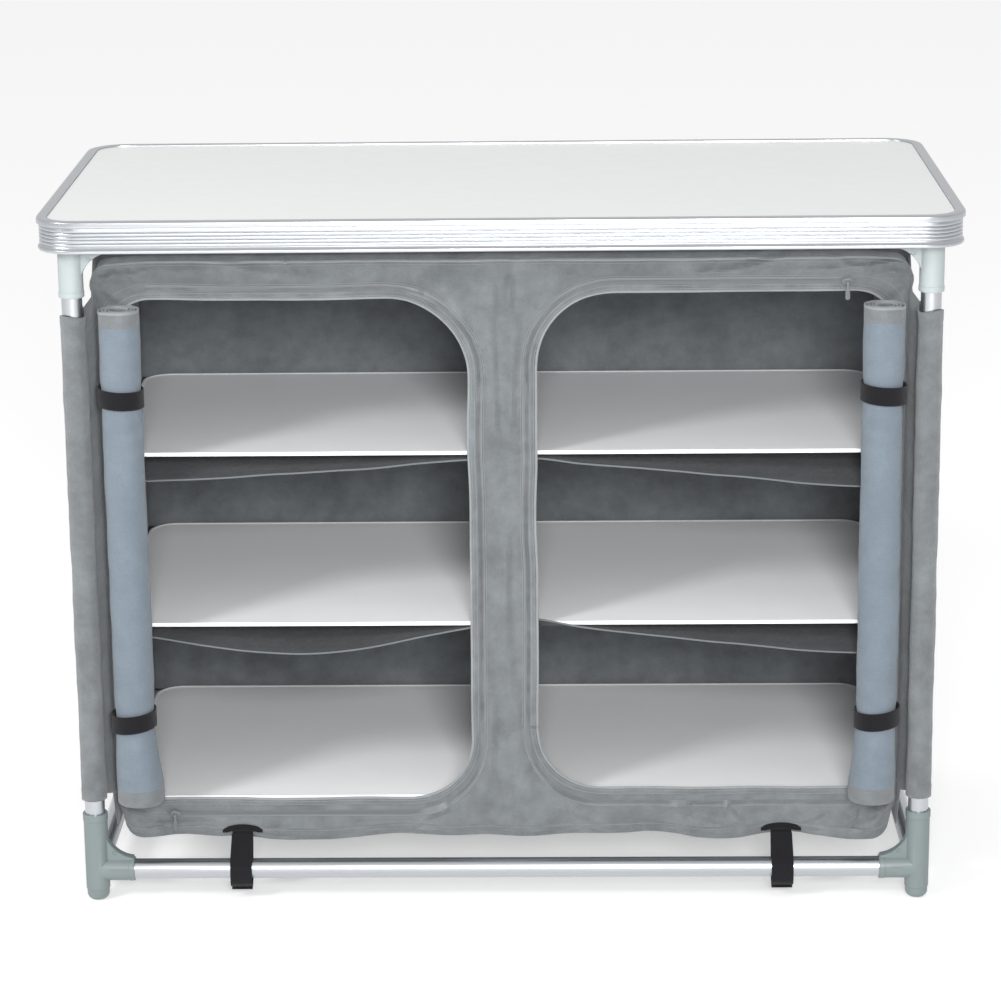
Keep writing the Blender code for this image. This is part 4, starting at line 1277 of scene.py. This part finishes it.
# -------------------------------------------------------------------- slings
# How far each sling's front hem hangs below its board: (share of the way out from the post, depth).
APRONS = {
    ("upper", "left"): [(0, 0.001), (0.25, 0.010), (0.6, 0.020), (0.85, 0.026), (1, 0.027)],
    ("upper", "right"): [(0, 0.000), (0.25, 0.010), (0.6, 0.025), (0.85, 0.035), (1, 0.037)],
    ("middle", "left"): [(0, -0.007), (0.2, 0.012), (0.5, 0.034), (0.75, 0.022), (1, 0.002)],
    ("middle", "right"): [(0, -0.014), (0.25, 0.004), (0.6, 0.022), (0.85, 0.031), (1, 0.032)],
}


def eased(where, stops):
    """Smoothed interpolation between (place, value) stops."""
    places, values = zip(*stops)
    offsets = np.linspace(-0.12, 0.12, 9)
    return sum(np.interp(where + offset, places, values) for offset in offsets) / len(offsets)


def build_slings():
    """Cloth under each upper board that falls away towards a loose hem at the front."""
    for (level, word), stops in APRONS.items():
        (x0, x1), (_, y1), (_, top) = span(f"shelf_sling_{level}_{word}")
        y0 = span(f"shelf_board_{level}_{word}")[1][0] - 0.0008
        width, deep, hem, reach = x1 - x0, y1 - y0, 0.012, 0.110
        post = min(abs(x0), abs(x1))

        def hem_depth(x):
            share = np.clip((np.abs(x) - post) / width, 0, 1)
            return eased(share, stops) + 0.0012 * noise(x, 0 * x, 0.05, 101)

        def place(u, v):
            x = x0 + u
            back = deep - np.clip(v, 0, deep)
            forward = np.clip((v - deep) / hem, 0, 1)
            depth = hem_depth(x)
            slope = 0.86 * np.maximum(depth, 0) * np.clip(1 - back / reach, 0, 1) ** 1.4
            held = smooth(0, 0.05, np.abs(x) - post) * smooth(0, 0.03, back) * smooth(0, 0.05, deep - back)
            soft = held * (0.0016 + 0.0010 * rumple(x, back, 0.05, 105))
            drop = slope + forward * (depth - 0.86 * np.maximum(depth, 0))
            wave = 0.0007 * noise(x, 0 * x, 0.045, 103) * smooth(0, 0.02, 0.02 - back)
            rise = BOARD_TILT[level] * back / deep
            return x, y0 + 0.0012 + back - 0.0022 * forward + wave, top + rise - CLOTH_THICK - soft - drop

        # The sling takes the dark sling cloth: painted shade for the shadow under its board.
        sling = cloth_grid(f"sling_{level}_{word}", width, deep + hem, place, "sling_cloth_painted_shade", 0.0045)
        x = np.linspace(x0 + 0.001, x1 - 0.001, 90)
        edge = np.column_stack(np.broadcast_arrays(*place(x - x0, deep + hem)))
        cord = seam_cord(f"sling_piping_{level}_{word}", edge, 0.0010, "cloth")
        finish(sling, replaces=f"shelf_sling_{level}_{word}")


# --------------------------------------------------------------- rolled doors
def build_doors():
    """Each door is one sheet rolled up towards its outer seam, grey-bound top and bottom."""
    for word, side in SIDES.items():
        (x0, x1), _, (z0, z1) = span("door_roll_" + word)
        cx, radius = middle((x0, x1)), (x1 - x0) / 2
        panel_y = PANEL_Y[0]
        turns = (radius - ROLL_CORE) / ROLL_PITCH
        angle = np.linspace(0, 2 * math.pi * turns, 4000)
        spiral = radius - ROLL_PITCH * angle / (2 * math.pi)
        run = np.concatenate([[0], np.cumsum((spiral[1:] + spiral[:-1]) / 2 * np.diff(angle))])
        rolled, height = run[-1], z1 - z0
        straps = [middle(span(f"roll_strap_{level}_{word}")[2]) for level in ("upper", "lower")]

        def place(u, v):
            inside = np.clip(u - ROLL_TAIL, 0, None)
            a = np.interp(inside, run, angle)
            r = np.interp(inside, run, spiral)
            z = z0 + v
            pinch = sum(np.exp(-((z - s) / 0.017) ** 2) for s in straps)
            pinch = np.clip(pinch, 0, 1)
            crease = sum(np.exp(-np.abs(z - s) / 0.035) * np.cos(
                a * 5 + 1.3 * np.sin((z - s) * 60)) for s in straps)
            loose = smooth(0.0, 0.085, straps[1] - 0.012 - z)
            puff = 1.035 - 0.075 * pinch + 0.17 * loose
            wrinkle = 0.00075 * crease * (1 - pinch) + 0.0009 * rumple(
                a * radius * 0.9, z, 0.055, 111 + side) + 0.0004 * rumple(a * radius, z, 0.02, 117)
            r = r * puff + wrinkle
            back = np.cos(a)
            shift = -side * 0.0035 * loose
            x = cx + shift - side * r * np.sin(a)
            y = panel_y - 0.0009 - radius * 1.0 + r * back
            limit = panel_y - 0.0010 - (radius - np.interp(inside, run, spiral)) * 0.9
            y = np.minimum(y, limit)
            flat = u < ROLL_TAIL
            x = np.where(flat, cx + side * (ROLL_TAIL - u), x)
            y = np.where(flat, panel_y - 0.0010, y)
            edge_wave = 0.0012 * noise(a * radius, 0 * a, 0.03, 119) * smooth(0.5, 1.0, v / height)
            return x, y, z + edge_wave

        door = cloth_grid("door_" + word, rolled + ROLL_TAIL, height, place, "door_cloth",
                          step=0.003, thickness=0.0010)
        door.data.materials.append(MAT["cloth"])
        door.data.materials.append(MAT["binding"])
        for polygon in door.data.polygons:
            z = polygon.center.z
            if z1 - z < 0.0024:
                polygon.material_index = 2
            elif min(z - z0, z1 - z) < ROLL_HEM:
                polygon.material_index = 1
        finish(door, replaces="door_roll_" + word)


# -------------------------------------------------------------------- straps
def strap_strip(name, line, width, thick, across, mat_slot, body, replaces=(), ends=0.0):
    """Webbing of even thickness that follows a line of 3-D points; `across` is its width axis."""
    line = resampled(line, 0.0015)
    across = np.array(across, float)
    tangent = np.gradient(line, axis=0)
    tangent /= np.linalg.norm(tangent, axis=1)[:, None]
    out = np.cross(tangent, across)
    out /= np.linalg.norm(out, axis=1)[:, None]
    half, edge = width / 2, min(0.0006, thick * 0.4)
    run = line_lengths(line)
    section = np.array([(-half, -thick / 2 + edge), (-half + edge, -thick / 2)]
                       + [(t, -thick / 2) for t in np.linspace(-half + 0.0025, half - 0.0025, 5)]
                       + [(half - edge, -thick / 2), (half, -thick / 2 + edge),
                          (half, thick / 2 - edge), (half - edge, thick / 2)]
                       + [(t, thick / 2) for t in np.linspace(half - 0.0025, -half + 0.0025, 5)]
                       + [(-half + edge, thick / 2), (-half, thick / 2 - edge)])
    taper = 1 - ends * (1 - smooth(0, 0.006, np.minimum(run, run[-1] - run)))
    verts = (line[:, None, :] + across * (section[None, :, :1] * taper[:, None, None])
             + out[:, None, :] * section[None, :, 1:]).reshape(-1, 3)
    count = len(section)
    faces = [list(f) for f in grid_faces(len(line), count, False, True)]
    faces += [list(range(count)), [(len(line) - 1) * count + k for k in range(count)]]
    uvs = np.stack(np.meshgrid(run, line_lengths(section), indexing="ij"), -1).reshape(-1, 2)
    strap = mesh_object(name, verts, faces, MAT[mat_slot], uvs)
    return finish(outward_faces(strap), body, replaces)


def build_roll_straps():
    """A band round the front of each roll, and the tails that join it to the panel."""
    for word, side in SIDES.items():
        roll = span("door_roll_" + word)
        cx, cy = middle(roll[0]), middle(roll[1])
        for level in ("upper", "lower"):
            node = f"roll_strap_{level}_{word}"
            strap_x, _, strap_z = span(node)
            z, height, thick = middle(strap_z), strap_z[1] - strap_z[0], 0.0013
            radius = (strap_x[1] - strap_x[0]) / 2 - 0.00075
            tilt = 0.0016 * side * (1 if level == "upper" else -1.6)

            def ring(start, end, grow=0.0):
                points = []
                for x, y in arc((0, 0), radius + grow, start, end, 40):
                    points.append((cx - side * x, cy + y, z + tilt * x / radius))
                return points

            strap_strip("band_" + node, ring(-2, -179), height, thick, (0, 0, 1), "webbing",
                        node + "_band", node)
            outer_tail = ring(182, 128)
            panel_y = PANEL_Y[0] - 0.0009
            outer_tail += [(cx + side * 0.0135, panel_y, z), (cx + side * 0.0200, panel_y, z)]
            strap_strip("tail_outer_" + node, outer_tail, height, 0.0011, (0, 0, 1), "webbing",
                        "frame")
            inner_tail = ring(1, 52, -0.0002)
            inner_tail += [(cx - side * 0.0130, panel_y, z), (cx - side * 0.0190, panel_y, z)]
            strap_strip("tail_inner_" + node, inner_tail, height, 0.0011, (0, 0, 1), "webbing",
                        "frame")


def build_hold_straps():
    """Straps from the bottom hem round the front rail, under a sewn tab."""
    for word in SIDES:
        node = "hold_strap_" + word
        strap_x, _, strap_z = span(node)
        x, width = middle(strap_x), strap_x[1] - strap_x[0]
        low, high = strap_z
        front = [(-0.1740, high - 0.0004), (-0.1905, 0.0545), (-0.1985, 0.0485), (-0.2040, 0.0410),
                 (-0.2050, 0.0300), (-0.2046, 0.0215), (-0.2020, 0.0170), (-0.1960, low + 0.0010)]
        strap_strip("leaf_" + node, [(x, y, z) for y, z in front], width, 0.0014, (1, 0, 0),
                    "webbing", node + "_leaf", node)
        back = [(-0.1715, 0.0700), (-0.1722, 0.0560), (-0.1768, 0.0430), (-0.1790, 0.0340),
                (-0.1796, 0.0240), (-0.1850, 0.0165), (-0.1915, 0.0125), (-0.1958, 0.0105)]
        strap_strip("back_" + node, [(x, y, z) for y, z in back], width * 0.96, 0.0012, (1, 0, 0),
                    "webbing", "frame")
        half = width * 0.92
        tab = [(x + t * half, PANEL_Y[0] - 0.0022, 0.0738 - 0.0046 * t * t)
               for t in np.linspace(-1, 1, 25)]
        strap_strip("tab_" + node, tab, 0.0070, 0.0014, (0, 0, 1), "webbing", "frame", ends=0.45)


# ---------------------------------------------------------------------- zips
def build_sliders():
    """Sliders with a nose, a bridge and side flanges, and pulls with a waist and a grip."""
    for word, side in SIDES.items():
        (x0, x1), (y0, y1), (z0, z1) = span("zip_slider_" + word)
        cx, cz = middle((x0, x1)), middle((z0, z1))
        half_x, half_z = (x1 - x0) / 2, (z1 - z0) / 2

        def shield(inset):
            nose = [(half_x - inset, -half_z * 0.45 + inset), (half_x - inset, half_z * 0.45 - inset)]
            tail = arc((-half_x * 0.2, 0), half_z - inset, 100, 260, 14)
            return [(cx - side * px, cz + pz) for px, pz in nose + tail][::-side]

        plates = []
        for low, high in ((y1 - 0.0013, y1 - 0.0001), (y0 + 0.0012, y0 + 0.0026)):
            verts, faces = slab(shield, [(0.0005, 0), (0, 0.0003), (0, high - low - 0.0003),
                                         (0.0005, high - low)])
            verts = np.column_stack([verts[:, 0], high - verts[:, 2], verts[:, 1]])
            plates.append((verts, faces))
        core = slab(lambda inset: [(cx - side * px, cz + pz) for px, pz in (
            (half_x * 0.5, -0.0012), (half_x * 0.5, 0.0012), (-half_x * 0.1, 0.0012),
            (-half_x * 0.1, -0.0012))], [(0, 0), (0, y1 - y0 - 0.0028)])
        core = (np.column_stack([core[0][:, 0], y1 - 0.0008 - core[0][:, 2], core[0][:, 1]]), core[1])
        bridge = [(cx + t * 0.0036, y0 + 0.0013 - 0.0011 * math.cos(t * 1.45), cz)
                  for t in np.linspace(-1, 1, 15)]
        parts = plates + [core, tube_along(bridge, 0.0007, 10)]
        slider = mesh_object("slider_" + word, *joined(parts), MAT["zip"])
        finish(outward_faces(slider), "slider_" + word, "zip_slider_" + word)

        (px0, px1), (py0, py1), (pz0, pz1) = span("zip_pull_" + word)
        px, length = middle((px0, px1)), pz1 - pz0
        width = (px1 - px0) / 2

        def pull_outline(inset):
            shape = []
            for t in np.linspace(0, 1, 26):
                half = width * (0.78 - 0.22 * math.sin(math.pi * min(1, t / 0.45)) * (t < 0.45)
                                + 0.22 * float(smooth(0.3, 0.6, t)))
                if t > 0.9:
                    half *= math.sqrt(max(0.05, 1 - ((t - 0.9) / 0.1) ** 2))
                if t < 0.06:
                    half *= math.sqrt(max(0.1, 1 - ((0.06 - t) / 0.06) ** 2))
                shape.append((max(half - inset, 0.0002), pz1 - inset - t * (length - 2 * inset)))
            return ([(px + half, z) for half, z in shape[::-1]] + [(px - half, z) for half, z in shape])

        thick = py1 - py0
        verts, faces = slab(pull_outline, [(0.0003, 0), (0, 0.0003), (0, thick - 0.0003),
                                           (0.0003, thick)])
        verts = np.column_stack([verts[:, 0], py1 - verts[:, 2], verts[:, 1]])
        ribs = []
        for k in range(5):
            z = pz0 + 0.0035 + k * 0.0014
            line = [(px + t, py0 - 0.00005, z) for t in np.linspace(-width * 0.7, width * 0.7, 6)]
            ribs.append(tube_along(line, 0.0003, 8))
        pull = mesh_object("pull_" + word, *joined([(verts, faces)] + ribs), MAT["zip"])
        finish(outward_faces(pull), "pull_" + word, "zip_pull_" + word)


# ---------------------------------------------------------------------- main
build_camera()
build_stage()
build_board()
build_trim()
build_tubes()
build_brackets()
build_shelves()
panel_sheet = build_front_panel()
build_front_trimmings()
panel_flat, panel_area = front_panel_cut()
build_back_panel()
build_roof_and_floor()
build_sides()
build_slings()
build_doors()
build_roll_straps()
build_hold_straps()
build_sliders()
for word in SIDES:
    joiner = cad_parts["trim_joiner_" + word]
    joiner.data.materials.clear()
    joiner.data.materials.append(MAT["aluminium"])
